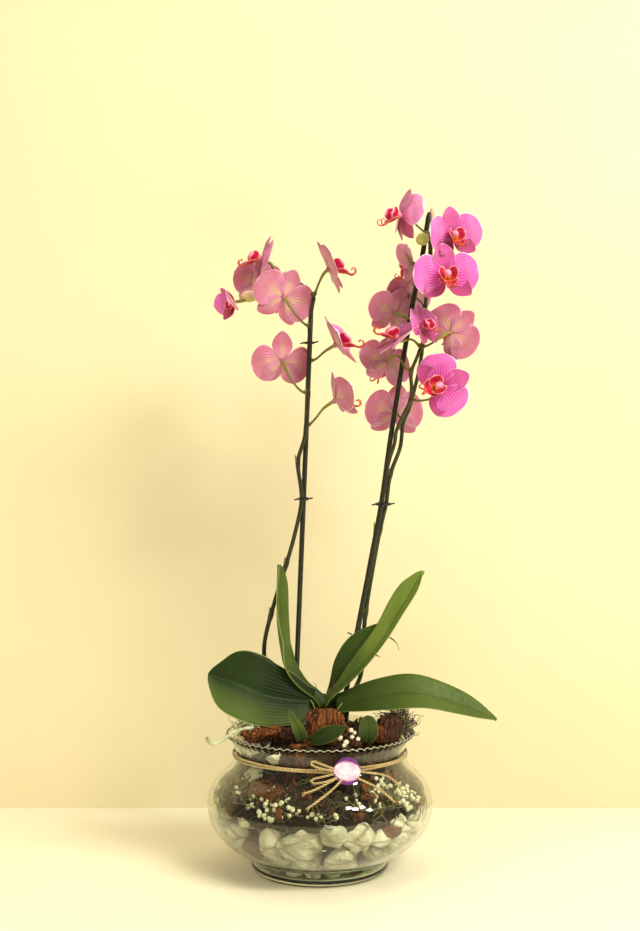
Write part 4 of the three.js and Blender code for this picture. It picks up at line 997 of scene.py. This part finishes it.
def blade(shape, rib, half, edges, fold, tone, thick=1.0, rows=54, cols=18, wave=0.8, seed=0):
    """A closed leaf with a folded upper skin. A pair of tones paints light and shade: a lighter one for its
    low edge, which faces the light from above, and a darker one for the rest.
    """
    lit_and_shaded_tones = tone if isinstance(tone, tuple) else (tone, tone)
    sides = [Vector(e).normalized() for e in edges]
    upper, lower, marks = [], [], []
    for place, way, t in strip(rib, rows):
        g = t * (len(sides) - 1)
        j = min(int(g), len(sides) - 2)
        side = sides[j].lerp(sides[j + 1], g - j)
        side = (side - way * side.dot(way)).normalized()
        face = side.cross(way)
        wide = max(between(half, t), 0.25)
        tail = max(0.0, (t - 0.86) / 0.14)
        wide *= math.sqrt(max(0.004, 1 - tail * tail))
        for k in range(cols + 1):
            u = -1 + 2 * k / cols
            lift = fold * wide * abs(u) ** 1.25 - 0.55 * thick * math.exp(-(u / 0.07) ** 2)
            lift += wave * math.sin(9 * t + 2 * u + seed) * abs(u) ** 2 * min(1, wide / 12)
            body = thick * (0.25 + 0.75 * (1 - u * u))
            keel = 0.5 * thick * math.exp(-(u / 0.12) ** 2)
            upper.append(place + side * (u * wide) + face * (lift + 0.5 * body))
            lower.append(place + side * (u * wide) + face * (lift - 0.5 * body - keel))
            marks.append((t, u))
    close_sheet(shape, upper, lower, marks, cols, False,
                tone=[lit_and_shaded_tones[1] + (lit_and_shaded_tones[0] - lit_and_shaded_tones[1]) * max(0.0, -u - 0.05) for _, u in marks] * 2)


def build_leaves():
    for seed, (name, (rib, half, edges, fold, tone)) in enumerate(LEAVES.items()):
        shape = Shape()
        blade(shape, rib, half, edges, fold, tone, thick=2.0 if max(half) > 10 else 1.3, seed=seed)
        shape.make(name.replace("leaf_", "") + "_leaf", "leaf", [LEAF], [name])


def build_crown():
    """The short stem: leaf bases wrapped over each other, with root stubs below."""
    shape = Shape()
    sheaths = [((-3, -6, 148), (-6, -7, 160), (-10, -8, 170)), ((16, -9, 148), (18, -9, 158), (22, -11, 167)),
               ((4, -12, 144), (5, -12, 152), (6, -10, 160)), ((4, 8, 146), (5, 10, 158), (9, 10, 172)),
               ((-8, 4, 146), (-9, 4, 158), (-8, 2, 170)), ((18, 5, 146), (20, 5, 158), (18, 6, 170))]
    for seed, line in enumerate(sheaths):
        way = Vector((line[1][1], -line[1][0] + 5, 0))
        blade(shape, line, [13, 13, 9], [way, way], -0.35, 0.35, thick=2.2, rows=20, cols=12, wave=0.3,
              seed=seed)
    dice = random.Random(3)
    for k in range(CROWN_ROOTS):
        a = TURN * k / CROWN_ROOTS
        foot = Vector((5 + 26 * math.cos(a), 24 * math.sin(a), 139))
        points = [(5 + 9 * math.cos(a), 8 * math.sin(a), 156),
                  (5 + 18 * math.cos(a + 0.1), 17 * math.sin(a + 0.1), 152), foot]
        tube(shape, points, lambda t: 2.5 - 0.5 * t + 0.2 * dice.random(), 10, 16, kind=1)
    shape.make("crown_sheaths", "leaf", [LEAF, ROOT], ["plant_crown"])


def build_root():
    line = [(-64, -40, 148), (-74, -41, 147), (-84, -41, 143.6), (-91, -41.5, 139), (-98, -42, 134.6),
            (-103.6, -43, 133), (-108.2, -43, 135.6), (-109.6, -43, 140)]
    shape = Shape()
    tube(shape, line, lambda t: 2.1 - 0.6 * t + 0.22 * math.sin(23 * t) + 0.12 * math.sin(61 * t), 14, 90,
         along=lambda t: max(0.0, (t - 0.75) / 0.25))
    tube(shape, [(-70, -38, 146), (-76, -44, 147), (-83, -47, 142.2), (-86.5, -48.5, 141.6)],
         lambda t: 1.3 - 0.5 * t, 10, 30, along=lambda t: 0.3)
    shape.make("air_root", "root", [ROOT], ["aerial_root"])


# ---------------------------------------- flowers
# middle, facing, top, width, depth of colour from pale to deep, lean of its petals (forward is above zero),
# and the turn of its petals and of its lower sepals away from the top one
FLOWERS = {
    "flower_left_1": ((-59, 16, 611), (-0.92, -0.24, 0.32), (0.35, 0, 1), 52, 0.5, -0.05, 70, 150),
    "flower_left_2": ((-62, 38, 590), (-0.45, 0.85, 0.2), (0.1, 0, 1), 54, 0.15, 0.05, 78, 138),
    "flower_left_3": ((-86, 10, 567), (-0.72, -0.5, -0.35), (-0.3, 0, 1), 38, 0.9, 0.3, 76, 140),
    "flower_left_4": ((-36, -4, 570), (-0.25, 0.95, 0.1), (0.42, 0, 1), 60, 0.3, 0.03, 82, 138),
    "flower_left_5": ((9, -4, 598), (0.9, 0.08, 0.42), (-0.3, 0, 1), 58, 0.4, 0.03, 74, 146),
    "flower_left_6": ((16, -6, 523), (0.84, -0.12, 0.5), (-0.3, 0, 1), 60, 0.7, 0.1, 74, 150),
    "flower_left_7": ((15, -2, 467), (0.9, 0.12, 0.4), (-0.3, 0, 1), 56, 0.35, 0.2, 76, 142),
    "flower_left_8": ((-38, 12, 508), (-0.2, 0.95, 0.15), (0.05, 0, 1), 58, 0.25, 0.03, 98, 140),
    "flower_right_1": ((81, -2, 652), (-0.88, -0.42, 0.14), (0.02, 0, 1), 56, 0.15, -0.17, 72, 148),
    "flower_right_2": ((130, -18, 629), (0.35, -0.92, 0.02), (-0.16, 0, 1), 56, 0.8, 0.12, 76, 136),
    "flower_right_3": ((123, -32, 588), (0.1, -0.99, 0.05), (-0.06, 0, 1), 62, 1.0, 0.03, 84, 132),
    "flower_right_4": ((94, 18, 607), (-0.86, 0.4, -0.2), (0.35, 0, 1), 48, 0.4, 0.1, 66, 150),
    "flower_right_5": ((92, 36, 577), (-0.35, 0.93, 0.1), (0.1, 0, 1), 48, 0.15, 0.0, 78, 140),
    "flower_right_6": ((75, 22, 557), (-0.4, 0.9, 0.15), (0.3, 0, 1), 52, 0.15, 0.05, 82, 136),
    "flower_right_7": ((77, -16, 527), (-0.6, -0.22, 0.77), (0.8, 0, 0.6), 56, 0.9, 0.02, 70, 150),
    "flower_right_8": ((68, 26, 508), (-0.45, 0.8, -0.3), (0.3, 0, 0.9), 58, 0.15, 0.03, 84, 134),
    "flower_right_9": ((77, 34, 456), (-0.15, 0.97, 0.1), (0.1, 0, 1), 60, 0.2, 0.03, 74, 128),
    "flower_right_10": ((131, 6, 536), (0.3, 0.93, -0.1), (0.75, 0, 0.65), 60, 0.4, 0.03, 76, 128),
    "flower_right_11": ((101, -12, 540), (0.72, -0.6, 0.3), (-0.15, 0, 1), 46, 1.0, 0.05, 70, 146),
    "flower_right_12": ((118, -26, 480), (-0.3, -0.93, 0.05), (0.9, 0, 0.36), 62, 1.0, 0.03, 76, 118),
}


def flower_axes(face, top):
    forward = Vector(face).normalized()
    upward = Vector(top)
    upward = (upward - forward * upward.dot(forward)).normalized()
    return forward, upward, upward.cross(forward)


def outline(v, peak, blunt, claw):
    """Half-width of a petal along its length, as a share of its widest."""
    body = max(math.sin(math.pi * min(v, 0.9995) ** peak), 0.0) ** blunt
    return max(body * (1 - claw * (1 - v) ** 6), 0.02)


def petal(shape, root, out, face, long, half, tone, peak=1.15, blunt=0.6, claw=0.5, bend=0.0, dish=0.0,
          ruffle=0.0, rows=18, cols=14, kind=0, seed=0, dusk=0.0):
    """A closed petal. bend carries its tip forward, dish lifts its sides, ruffle waves its rim, and dusk
    darkens its front as painted shade.
    """
    side = out.cross(face).normalized()
    front, back, marks = [], [], []
    for i in range(rows + 1):
        v = i / rows
        wide = half * outline(v, peak, blunt, claw)
        for k in range(cols + 1):
            u = -1 + 2 * k / cols
            lift = bend * v * v + dish * u * u * wide / half
            lift += ruffle * math.sin(7 * v + 3 * u + seed) * abs(u) * v
            lift -= 0.25 * math.exp(-(u / 0.12) ** 2) * (1 - v)
            middle = root + out * (long * v) + side * (u * wide) + face * lift
            body = 0.5 * PETAL_THICK * (1 - 0.6 * u * u)
            front.append(middle + face * body)
            back.append(middle - face * body)
            marks.append((v, u))
    close_sheet(shape, front, back, marks, cols, True, kind, tone=tone, dusk=dusk)


def lip(shape, middle, forward, upward, right, size):
    """The three-lobed lip with its two curled threads, and the column above it."""
    throat = middle + forward * (0.03 * size) - upward * (0.03 * size)
    for hand in (-1, 1):
        way = (forward * 0.6 + upward * 0.2 + right * (hand * 0.72)).normalized()
        inward = (forward * 0.5 - right * (hand * 0.55) + upward * 0.1).normalized()
        inward = (inward - way * inward.dot(way)).normalized()
        petal(shape, throat, way, inward, 0.21 * size, 0.098 * size, 0.8, 1.0, 0.5, 0.35, bend=0.05 * size,
              dish=0.03 * size, rows=14, cols=10, kind=1, seed=hand)
    way = (forward * 0.7 - upward * 0.72).normalized()
    face = (forward * 0.72 + upward * 0.7).normalized()
    petal(shape, throat, way, face, 0.24 * size, 0.125 * size, 0.35, 1.0, 0.75, 0.3, bend=0.045 * size,
          dish=0.05 * size, rows=16, cols=12, kind=1)
    tip = throat + way * (0.225 * size) + face * (0.045 * size)
    for hand in (-1, 1):
        step = right * (hand * 0.022 * size)
        points = [tip - way * (0.03 * size), tip + way * (0.04 * size) + step * 1.5,
                  tip + way * (0.08 * size) + face * (0.04 * size) + step * 2.4,
                  tip + way * (0.06 * size) + face * (0.085 * size) + step * 2.8,
                  tip + way * (0.015 * size) + face * (0.085 * size) + step * 2.6,
                  tip + way * (0.015 * size) + face * (0.055 * size) + step * 2.4]
        tube(shape, points, lambda t: 0.014 * size * (1 - 0.75 * t) + 0.12, 7, 26, kind=1,
             along=lambda t: 0.35)
    for hand in (-1, 1):
        lump(shape, throat + forward * (0.055 * size) + right * (hand * 0.018 * size), [0.023 * size] * 3, 7,
             0.2, kind=2, rows=8, cols=10, along=0.0)
    start = middle + forward * (0.01 * size)
    line = [start, start + forward * (0.07 * size) + upward * (0.012 * size), start + forward * (0.13 * size)]
    tube(shape, line, lambda t: size * (0.034 + 0.012 * math.sin(math.pi * t) + 0.008 * t), 14, 14, kind=2,
         along=lambda t: 1.0)
    lump(shape, line[-1], [0.026 * size] * 3, 8, 0.08, kind=2, rows=10, cols=14, along=1.0)


def build_flower(name, middle, face, top, size, tone, lean, petal_turn, sepal_turn):
    forward, upward, right = flower_axes(face, top)
    middle = Vector(middle)
    dice = random.Random(name)
    shape = Shape()

    def part(turn, long, half, lift, slope, **form):
        a = math.radians(turn + dice.uniform(-4, 4))
        out = upward * math.cos(a) + right * math.sin(a)
        way = (out + forward * (2.2 * slope)).normalized()
        root = middle + out * (0.012 * size) + forward * (lift * size)
        petal(shape, root, way, forward, long * size * dice.uniform(0.97, 1.03), half * size, tone,
              seed=dice.uniform(0, 6), bend=(0.02 + 0.35 * slope + dice.uniform(-0.02, 0.02)) * size, **form)

    for turn, long, half, slope in ((0, 0.5, 0.185, 0.5 * lean), (sepal_turn, 0.48, 0.165, lean),
                                    (-sepal_turn, 0.48, 0.165, lean)):
        # The sepals get painted shade: some on the top one, more on the lower two.
        part(turn, long, half, -0.014, slope, peak=1.0, blunt=0.72, claw=0.4, dish=0.03 * size,
             ruffle=0.01 * size, rows=18, cols=12, dusk=0.45 if turn == 0 else 0.9)
    for turn in (petal_turn, -petal_turn):
        part(turn, 0.52, 0.325, 0.012, lean, peak=1.12, blunt=0.5, claw=0.8, dish=-0.025 * size,
             ruffle=0.018 * size, rows=20, cols=18)
    lump(shape, middle - forward * (0.01 * size), [0.05 * size] * 3, 4, 0.1, rows=8, cols=12, along=0.1,
         front=0.0, tone=tone)
    lip(shape, middle, forward, upward, right, 1.28 * size)
    shape.make(name + "_bloom", "petal", [PETAL, LIP, COLUMN], [name])


# ---------------------------------------- spikes, buds, stakes and clips
def flower_back(name):
    middle, face, _, size, *_ = FLOWERS[name]
    return Vector(middle) - Vector(face).normalized() * (0.045 * size)


SPIKES = {
    "left": {
        "material": SPIKE,
        "line": [(-4, 12, 160), (-26, 21, 172), (-49, 22, 190), (-56, 20, 206), (-56, 18, 224),
                 (-47.5, 15, 259), (-34, 11, 303), (-25, 8, 335), (-18.5, 5.4, 369), (-22, 5, 400),
                 (-21.8, 5, 409), (-15.5, 4.9, 431), (-12.5, 5.6, 460), (-11.2, 5.8, 500), (-10, 5.8, 545),
                 (-6, 5, 572)],
        "stalks": [("flower_left_7", [(-12.8, 5, 441), (-5, 3, 449), (4, 1, 460)]),
                   ("flower_left_8", [(-12.4, 5.4, 474), (-20, 0, 478), (-30, -2, 490)]),
                   ("flower_left_6", [(-11, 5.8, 506), (-3, 4, 510), (4, 1, 516)]),
                   ("flower_left_4", [(-10.2, 5.8, 541), (-18, -2, 546), (-27, -11, 556)]),
                   ("flower_left_5", [(-6, 5, 572), (-2, 3, 583), (3, -1, 593)]),
                   ("flower_left_1", [(-6, 5, 572), (-18, 10, 585), (-33, 14, 592), (-44, 17, 598),
                                      (-50, 18, 607)]),
                   ("flower_left_2", [(-33, 14, 592), (-46, 22, 590), (-56, 30, 588)]),
                   ("flower_left_3", [(-33, 14, 592), (-52, 19, 583), (-68, 17, 574), (-78, 14, 569)])],
        "nodes": [(-50, 15.8, 251), (-34, 11, 303), (-22, 5, 405)],
        "buds": [((-72, 17, 574), (9, 5, 6), 1.0), ((-35, 13, 596), (3.5, 2.5, 2.5), 0.3)],
    },
    "right_brown": {
        "material": BROWN_SPIKE,
        "line": [(6, 15, 160), (17, 27, 172), (30, 27, 200), (38.5, 26, 232), (49, 23, 295), (57, 21, 337),
                 (61.7, 21, 363), (67, 20.5, 393), (70, 20, 407), (75.4, 15.6, 425), (76.8, 8, 437),
                 (84.5, 4, 455), (90.8, 3, 468), (91.7, 3, 481), (91.3, 3, 496), (96, 2, 508), (101, 2, 520)],
        "stalks": [("flower_right_12", [(90.8, 3, 468), (103, 0, 467.5), (112, -8, 470)]),
                   ("flower_right_8", [(91.3, 3, 496), (85, 5, 502), (80, 12, 512), (77, 18, 514)]),
                   ("flower_right_7", [(101, 2, 520), (94, -2, 527), (89, -7, 528)]),
                   ("flower_right_11", [(101, 2, 520), (105, 0, 528), (108, -3, 534)]),
                   ("flower_right_10", [(101, 2, 520), (111, -4, 524), (121, -5, 531)])],
        "nodes": [(57, 21, 337)],
        "buds": [],
    },
    "right_green": {
        "material": GREEN_SPIKE,
        "line": [(12, 8, 158), (28, 11, 168), (37, 20, 179), (42, 22, 192), (45, 21, 238), (46.5, 20.5, 254),
                 (60.8, 18.5, 337), (67, 18, 363.5), (71.2, 18, 393), (81, 14, 421), (84.4, 13, 448),
                 (88.8, 12, 457), (96, 12, 482), (100, 12, 499), (103, 12, 518), (104.5, 12, 539),
                 (106, 12, 559), (108.3, 12, 585), (111, 11, 611), (111, 8, 625), (109.4, 3.6, 633)],
        "stalks": [("flower_right_9", [(84.4, 13, 448), (82, 20, 451), (79, 25, 454)]),
                   ("flower_right_6", [(104.5, 12, 539), (100, 3, 545), (88, 4, 550), (79, 13, 555)]),
                   ("flower_right_5", [(106, 12, 559), (103, 20, 568), (97, 27, 574)]),
                   ("flower_right_4", [(109, 12, 595), (107, 18, 601), (102, 19.5, 605)]),
                   ("flower_right_3", [(108.6, 12, 588), (114, 0, 590), (120, -18, 590)]),
                   ("flower_right_2", [(111, 8, 622), (119, 2, 629), (126, -8, 631)]),
                   ("flower_right_1", [(109.4, 3.6, 633), (100, 1, 640), (90, 1, 649)]),
                   (None, [(109.4, 3.6, 633), (106, -2, 630), (102, -7, 628)]),
                   (None, [(111, 11, 615), (114, 17, 635), (114, 19, 650)])],
        "nodes": [(46.5, 20.5, 254), (60.8, 18.5, 337), (71.2, 18, 393)],
        "buds": [((102, -7, 628), (6.5, 6.5, 6.5), 0.0), ((114, 19, 656), (3.6, 3.6, 9), 1.0)],
    },
}


def build_spike(name, plan):
    shape = Shape()
    line = [Vector(p) for p in plan["line"]]
    swell = [Vector(p) for p in plan["nodes"]] + [Vector(by[0]) for _, by in plan["stalks"]]
    smooth = strip(line, SPIKE_STEPS)

    def thick(t):
        place = smooth[int(t * (SPIKE_STEPS - 1) + 0.5)][0]
        near = min((place - joint).length for joint in swell)
        return SPIKE_RADIUS * (1.1 - 0.25 * t) * (1 + 0.32 * math.exp(-(near / 4.5) ** 2))

    tube(shape, line, thick, 14, SPIKE_STEPS, along=lambda t: 0.0)
    for joint in swell[:len(plan["nodes"])]:
        place, way, _ = min(smooth, key=lambda s: (s[0] - joint).length)
        side = way.cross(Vector((0, 1, 0))).normalized()
        petal(shape, place + side * 1.6 - way * 4, (way + side * 0.28).normalized(), side, 12, 3.0, 0.2,
              bend=-1.2, dish=-1.6, rows=10, cols=8, kind=0)
    for target, by in plan["stalks"]:
        points = [Vector(p) for p in by] + ([flower_back(target)] if target else [])
        tube(shape, points,
             lambda t: PEDICEL_RADIUS * (1.25 - 0.35 * math.sin(math.pi * min(t * 1.2, 1)) + 0.25 * t),
             10, 8 * len(points), along=lambda t: 0.2 + 0.7 * t)
        place, way = points[0], (points[1] - points[0]).normalized()
        petal(shape, place - way * 0.6, (way + Vector((0, 0, 0.4))).normalized(), Vector((0, -1, 0.1)), 6.5,
              2.4, 0.2, bend=-0.8, dish=1.0, rows=8, cols=6)
    shape.make("spike_" + name + "_stem", "spike", [plan["material"]], ["spike_" + name])
    for number, (place, half, tip) in enumerate(plan["buds"]):
        build_bud(f"bud_{name}_{number + 1}", place, half, tip)


def build_bud(name, place, half, tip):
    """A closed bud: three sepals folded over each other, with a seam between each pair."""
    shape = Shape()
    points, faces = bumpy_ball(20, 30)
    out, marks = [], []
    for p in points:
        a = math.atan2(p.y, p.x)
        seam = 1 - 0.07 * math.exp(-(math.sin(1.5 * a) / 0.16) ** 2)
        taper = 1 - 0.18 * p.z
        out.append(Vector(place) + Vector((p.x * half[0] * seam * taper, p.y * half[1] * seam * taper,
                                           p.z * half[2])))
        marks.append(tip * (0.5 + 0.5 * p.z))
    shape.add(out, faces, 0, along=marks)
    shape.make(name, "petal", [BUD])


STAKES = {
    "stake_left": [(-9, 12, 560), (-16.3, 12, 375), (-23.4, 12, 200), (-27.4, 12, 100)],
    "stake_right": [(110, 10, 657.6), (102, 11, 607), (94, 11.5, 568), (71, 12.5, 429), (61.7, 13.5, 362.6),
                    (36.5, 17, 228.4), (24, 20, 160), (12, 24, 100)],
}


def build_stakes():
    for name, line in STAKES.items():
        shape = Shape()
        tube(shape, line, lambda t: STAKE_RADIUS * min(1.0, 0.55 + 60 * t) * (1 + 0.012 * math.sin(300 * t)),
             16, STAKE_STEPS)
        shape.make(name + "_rod", "stake", [STAKE], [name])


def build_clips():
    """Each clip is a looped band round the stake and the spike, with two small grips."""
    for name in ("clip_left_top", "clip_left_low", "clip_right"):
        middle, half = of_box(name)
        shape = Shape()
        loop = []
        for k in range(CLIP_STEPS):
            a = TURN * k / CLIP_STEPS
            centre = middle + Vector((half.x * math.cos(a), half.y * math.sin(a), 0.5 * math.sin(a)))
            loop.append(upright_ring(centre, polar(a), CLIP_GAUGE, CLIP_HEIGHT, CLIP_SIDES))
        shape.add(*skin(loop, closed=True))
        for hand in (-1, 1):
            start = middle + Vector((hand * half.x, -0.35 * half.y, 0))
            tube(shape, [start, start + Vector((hand * 2.4, -0.9, 0.5 * hand)),
                         start + Vector((hand * 4.6, -1.1, 1.1 * hand))],
                 lambda t: 0.95 - 0.25 * t, 10, 14)
        shape.make(name + "_band", "clip", [CLIP], [name])


# ---------------------------------------- dried blossom
SPRIGS = {
    "sprig_left": ([(-150, 78), (-138, 80), (-126, 82), (-116, 81), (-105, 78), (-95, 77)],
                   [(-148, 91), (-130, 89), (-128, 82), (-121, 94), (-119, 80), (-117, 74), (-109, 89),
                    (-106, 78), (-101, 82), (-92, 76), (-82, 79), (-124, 88), (-123, 77), (-120, 87),
                    (-116, 92), (-115, 84), (-113, 79), (-112, 86), (-110, 94), (-107, 84), (-119, 97),
                    (-125, 98)]),
    "sprig_right": ([(-71, 82), (-62, 80), (-52, 80), (-41, 79), (-30, 78)],
                    [(-69, 93), (-61, 92), (-52, 97), (-47, 98), (-41, 90), (-34, 84), (-27, 86), (-37, 76),
                     (-22, 79), (-44, 102), (-50, 103), (-39, 82), (-31, 88), (-29, 81), (-56, 90),
                     (-35, 95)]),
}


def blossom(shape, place, radius, seed):
    """A tiny double flower: a ruffled ball of pointed petals."""
    dice = random.Random(seed)
    points, faces = bumpy_ball(9, 14)
    out = []
    for k, p in enumerate(points):
        ruffle = 0.78 + 0.3 * dice.random() + (0.12 if k % 2 else 0)
        out.append(Vector(place) + p * (radius * ruffle))
    shape.add(out, faces, 0)


def build_sprigs():
    for name, (main, heads) in SPRIGS.items():
        shape = Shape()
        line = [off_glass(turn, z, 7.2) for turn, z in main]
        tube(shape, line, 0.55, 7, 50, kind=1)
        dice = random.Random(name)
        more = [(turn + dice.gauss(0, 3.2), z + dice.gauss(0, 3.6)) for turn, z in heads for _ in range(3)]
        for seed, (turn, z) in enumerate(heads + more):
            head = off_glass(turn, z, 4.1 if seed < len(heads) else dice.uniform(3.4, 7.5))
            near = min(line, key=lambda p: (p - head).length)
            bow = (near + head) / 2 + Vector((0, 0, 1.5))
            tube(shape, [near, bow, head], 0.28, 5, 12, kind=1)
            blossom(shape, head, 1.9 + 0.4 * math.sin(7 * seed), seed + len(name))
        shape.make(name + "_twigs", "blossom", [BLOSSOM, TWIG], [name])
    shape = Shape()
    heads = [(29.6, -63, 150.2), (30.6, -64, 143.8), (36.3, -63, 141.8), (19, -66, 143.4), (24.8, -67, 139.4),
             (23, -68, 136.6), (33, -60, 147)]
    foot = Vector((27, -58, 134))
    for seed, head in enumerate(heads):
        tube(shape, [foot, (foot + Vector(head)) / 2 + Vector((0, 0, 1)), head], 0.3, 5, 12, kind=1)
        blossom(shape, head, 2.2 + 0.3 * math.sin(5 * seed), 90 + seed)
    shape.make("front_sprig", "blossom", [BLOSSOM, TWIG])


# ---------------------------------------- twine and label
KNOT_RADIUS = NECK_RADIUS + 0.3 + TWINE_RADIUS + 1
KNOT = polar(math.radians(-73), KNOT_RADIUS, BAND_Z) - Vector((0, 3.2, 0))
LOOPS = [
    [(-1, -1.6, 2.1), (-13, -5.6, 3.9), (-24, -5.6, 7.5), (-31, -4.9, 9.9), (-33.6, -4.9, 8.5)],
    [(-33.6, -4.9, 8.5), (-31, -5.1, 5.7), (-21, -5.7, 2.9), (-11, -5.7, 1.1), (-1, -1.6, -0.1)],
    [(-1, -1.6, -0.5), (-13, -6.1, -1.7), (-23, -7.5, -3.9), (-31, -7.1, -5.9), (-33.6, -7.3, -7.9)],
    [(-33.6, -7.3, -7.9), (-31, -8.1, -9.5), (-21, -9.1, -8.3), (-11, -7.3, -5.1), (-1, -1.6, -2.5)],
]
TAILS = {
    "twine_tail_1": [
        (19, -91.5, 113.4), (17, -92.2, 112.3), (15, -92.9, 111.2), (12.8, -93.7, 110), (10.6, -94.5, 108.9),
        (8.4, -95.2, 107.9), (6.2, -95.9, 106.8), (3.8, -96.6, 105.7), (1.4, -97.3, 104.6),
        (-1, -97.9, 103.5), (-3.6, -98.4, 102.4), (-6.2, -98.9, 101.4), (-9, -99.2, 100.4),
        (-12, -99.4, 99.5), (-15, -99.4, 98.8)],
    "twine_tail_2": [
        (20.5, -94.8, 110.6), (18.6, -96.2, 108.8), (16.6, -97.6, 107), (14.6, -99, 105.2),
        (12.4, -100.4, 103.5), (10.2, -101.6, 101.8), (8, -102.8, 100.1), (5.6, -103.9, 98.5),
        (3.2, -104.9, 96.9), (0.8, -105.8, 95.3), (-1.6, -106.6, 93.7), (-4, -107.3, 92.1),
        (-6.4, -107.8, 90.5), (-8.8, -108.2, 88.9), (-11, -108.5, 87.4)],
    "twine_tail_3": [
        (31.5, -89.8, 112.6), (34, -89.9, 111.3), (36.5, -89.8, 110.1), (39, -89.5, 108.9),
        (41.6, -89.1, 107.6), (44.2, -88.6, 106.3), (46.8, -87.9, 104.9), (49.4, -87.1, 103.4),
        (52, -86.3, 101.8), (54.6, -85.5, 100), (57.2, -84.7, 98), (60, -84, 95.8), (63, -83.5, 93.2),
        (66.4, -83.2, 90.2), (69.6, -83.4, 87.2)],
    "twine_tail_4": [
        (32.5, -85.8, 116.2), (36, -84.8, 115.6), (39.6, -83.6, 115), (43.2, -82, 114.3),
        (46.8, -80.2, 113.6), (50.2, -78.4, 112.8), (53.6, -76.4, 111.9), (57, -74.4, 110.8),
        (60.4, -72.5, 109.5), (63.8, -70.8, 107.9), (67, -69.5, 105.9), (70, -68.7, 103.4),
        (72.6, -68.4, 100.6), (75, -68.4, 97.6), (77, -68.6, 94.6)],
}
TWIST = 7.5


def build_tails():
    for name, points in TAILS.items():
        shape = Shape()
        path = tube(shape, points, TWINE_RADIUS, 14, 90, lobes=2, pitch=TWIST, round_end=False)
        piece = shape.make(name + "_cord", "twine", [TWINE], [name])


def build_band_and_bow():
    band = Shape()
    for rise in (-TWINE_RADIUS, TWINE_RADIUS):
        rings, crowns = [], []
        for k in range(BAND_STEPS):
            a = TURN * k / BAND_STEPS
            wander = 0.35 * math.sin(5 * a + rise)
            centre, outward = polar(a, KNOT_RADIUS, BAND_Z + rise + wander), polar(a)
            twist = a * round(TURN * KNOT_RADIUS / TWIST)
            ring = []
            for j in range(BAND_SIDES):
                b = TURN * j / BAND_SIDES
                crown = abs(math.cos(b - twist))
                r = TWINE_RADIUS * (1 - STRAND_DIP + STRAND_DIP * crown)
                ring.append(centre + outward * (r * math.cos(b)) + Vector((0, 0, r * math.sin(b))))
                crowns.append(crown)
            rings.append(ring)
        band.add(*skin(rings, closed=True), front=crowns)
    band.make("neck_twine", "twine", [TWINE], ["twine_band"])
    bow = Shape()
    for out, home in zip(LOOPS[::2], LOOPS[1::2]):
        tube(bow, [KNOT + Vector(step) for step in out + home[1:]], TWINE_RADIUS, 12, 150, lobes=2,
             pitch=TWIST)
    for k in range(4):
        a = TURN * k / 4
        points = [KNOT + Vector((3.4 * math.cos(b), -1.2 + 2.2 * math.sin(b + a),
                                 3.2 * math.sin(b) * math.cos(a)))
                  for b in (TURN * j / 10 for j in range(10))]
        tube(bow, points, TWINE_RADIUS, 12, 60, lobes=2, pitch=TWIST)
    bow.make("bow_and_knot", "twine", [TWINE], ["twine_bow"])
    fuzz = Shape()
    dice = random.Random(8)
    for points in TAILS.values():
        end, way = Vector(points[-1]), (Vector(points[-1]) - Vector(points[-2])).normalized()
        for _ in range(9):
            curl(fuzz, end - way * 1.5, way + Vector([dice.gauss(0, 0.25) for _ in range(3)]),
                 dice.uniform(3, 6), 0.16, dice, loose=0.4)
        for place in points[::2]:
            curl(fuzz, Vector(place) + Vector((0, -0.6, 0)), [dice.gauss(0, 1) for _ in range(3)], 3.2, 0.1,
                 dice)
    fuzz.make("twine_fibres", "twine", [TWINE])


def build_label():
    middle, _ = of_box("label")
    normal = Vector((0.15, -0.98, 0.1)).normalized()
    side = Vector((0, 0, 1)).cross(normal).normalized() * -1
    up = side.cross(normal)
    rings, out_marks, turn_marks = [], [], []
    profile = [(0.02, 0.75), (0.3, 0.72), (0.6, 0.66), (0.8, 0.6), (0.93, 0.52), (0.985, 0.35), (1.0, 0.05),
               (0.99, -0.3), (0.95, -0.5), (0.6, -0.55), (0.02, -0.55)]
    for share, depth in profile:
        ring = []
        for k in range(LABEL_SIDES):
            a = TURN * k / LABEL_SIDES
            r = LABEL_RADIUS * share - (0.55 * (0.5 - 0.5 * math.cos(16 * a)) if share > 0.85 else 0)
            ring.append(middle + side * (r * math.cos(a)) + up * (r * math.sin(a)) + normal * depth)
            out_marks.append(share if depth > 0 else 1.0)
            turn_marks.append(a - 0.15)
        rings.append(ring)
    shape = Shape()
    shape.add(*skin(rings), along=out_marks, across=turn_marks)
    shape.make("round_label", "label", [LABEL], ["label"])


# ---------------------------------------- stage
def build_stage():
    def panel(name, corners, material):
        mesh = bpy.data.meshes.new(name)
        mesh.from_pydata(corners, [], [(0, 1, 2, 3)])
        mesh.materials.append(material)
        made = bpy.data.objects.new(name, mesh)
        bpy.context.collection.objects.link(made)

    far = STAGE_HALF
    panel("table", [(-far, -far, 0), (far, -far, 0), (far, far, 0), (-far, far, 0)],
          stage_material("table_top", rgb(240, 234, 214), False))
    panel("wall", [(-far, WALL_Y, -0.01), (far, WALL_Y, -0.01), (far, WALL_Y, far), (-far, WALL_Y, far)],
          stage_material("wall_paint", rgb(222, 212, 180), True))


build_tails()
build_bowl()
build_stones()
build_mix()
scatter_chips()
build_bark()
build_moss()
build_leaves()
build_crown()
build_root()
for flower, facts in FLOWERS.items():
    build_flower(flower, *facts)
for spike, plan in SPIKES.items():
    build_spike(spike, plan)
build_stakes()
build_clips()
build_sprigs()
build_band_and_bow()
build_label()
build_stage()
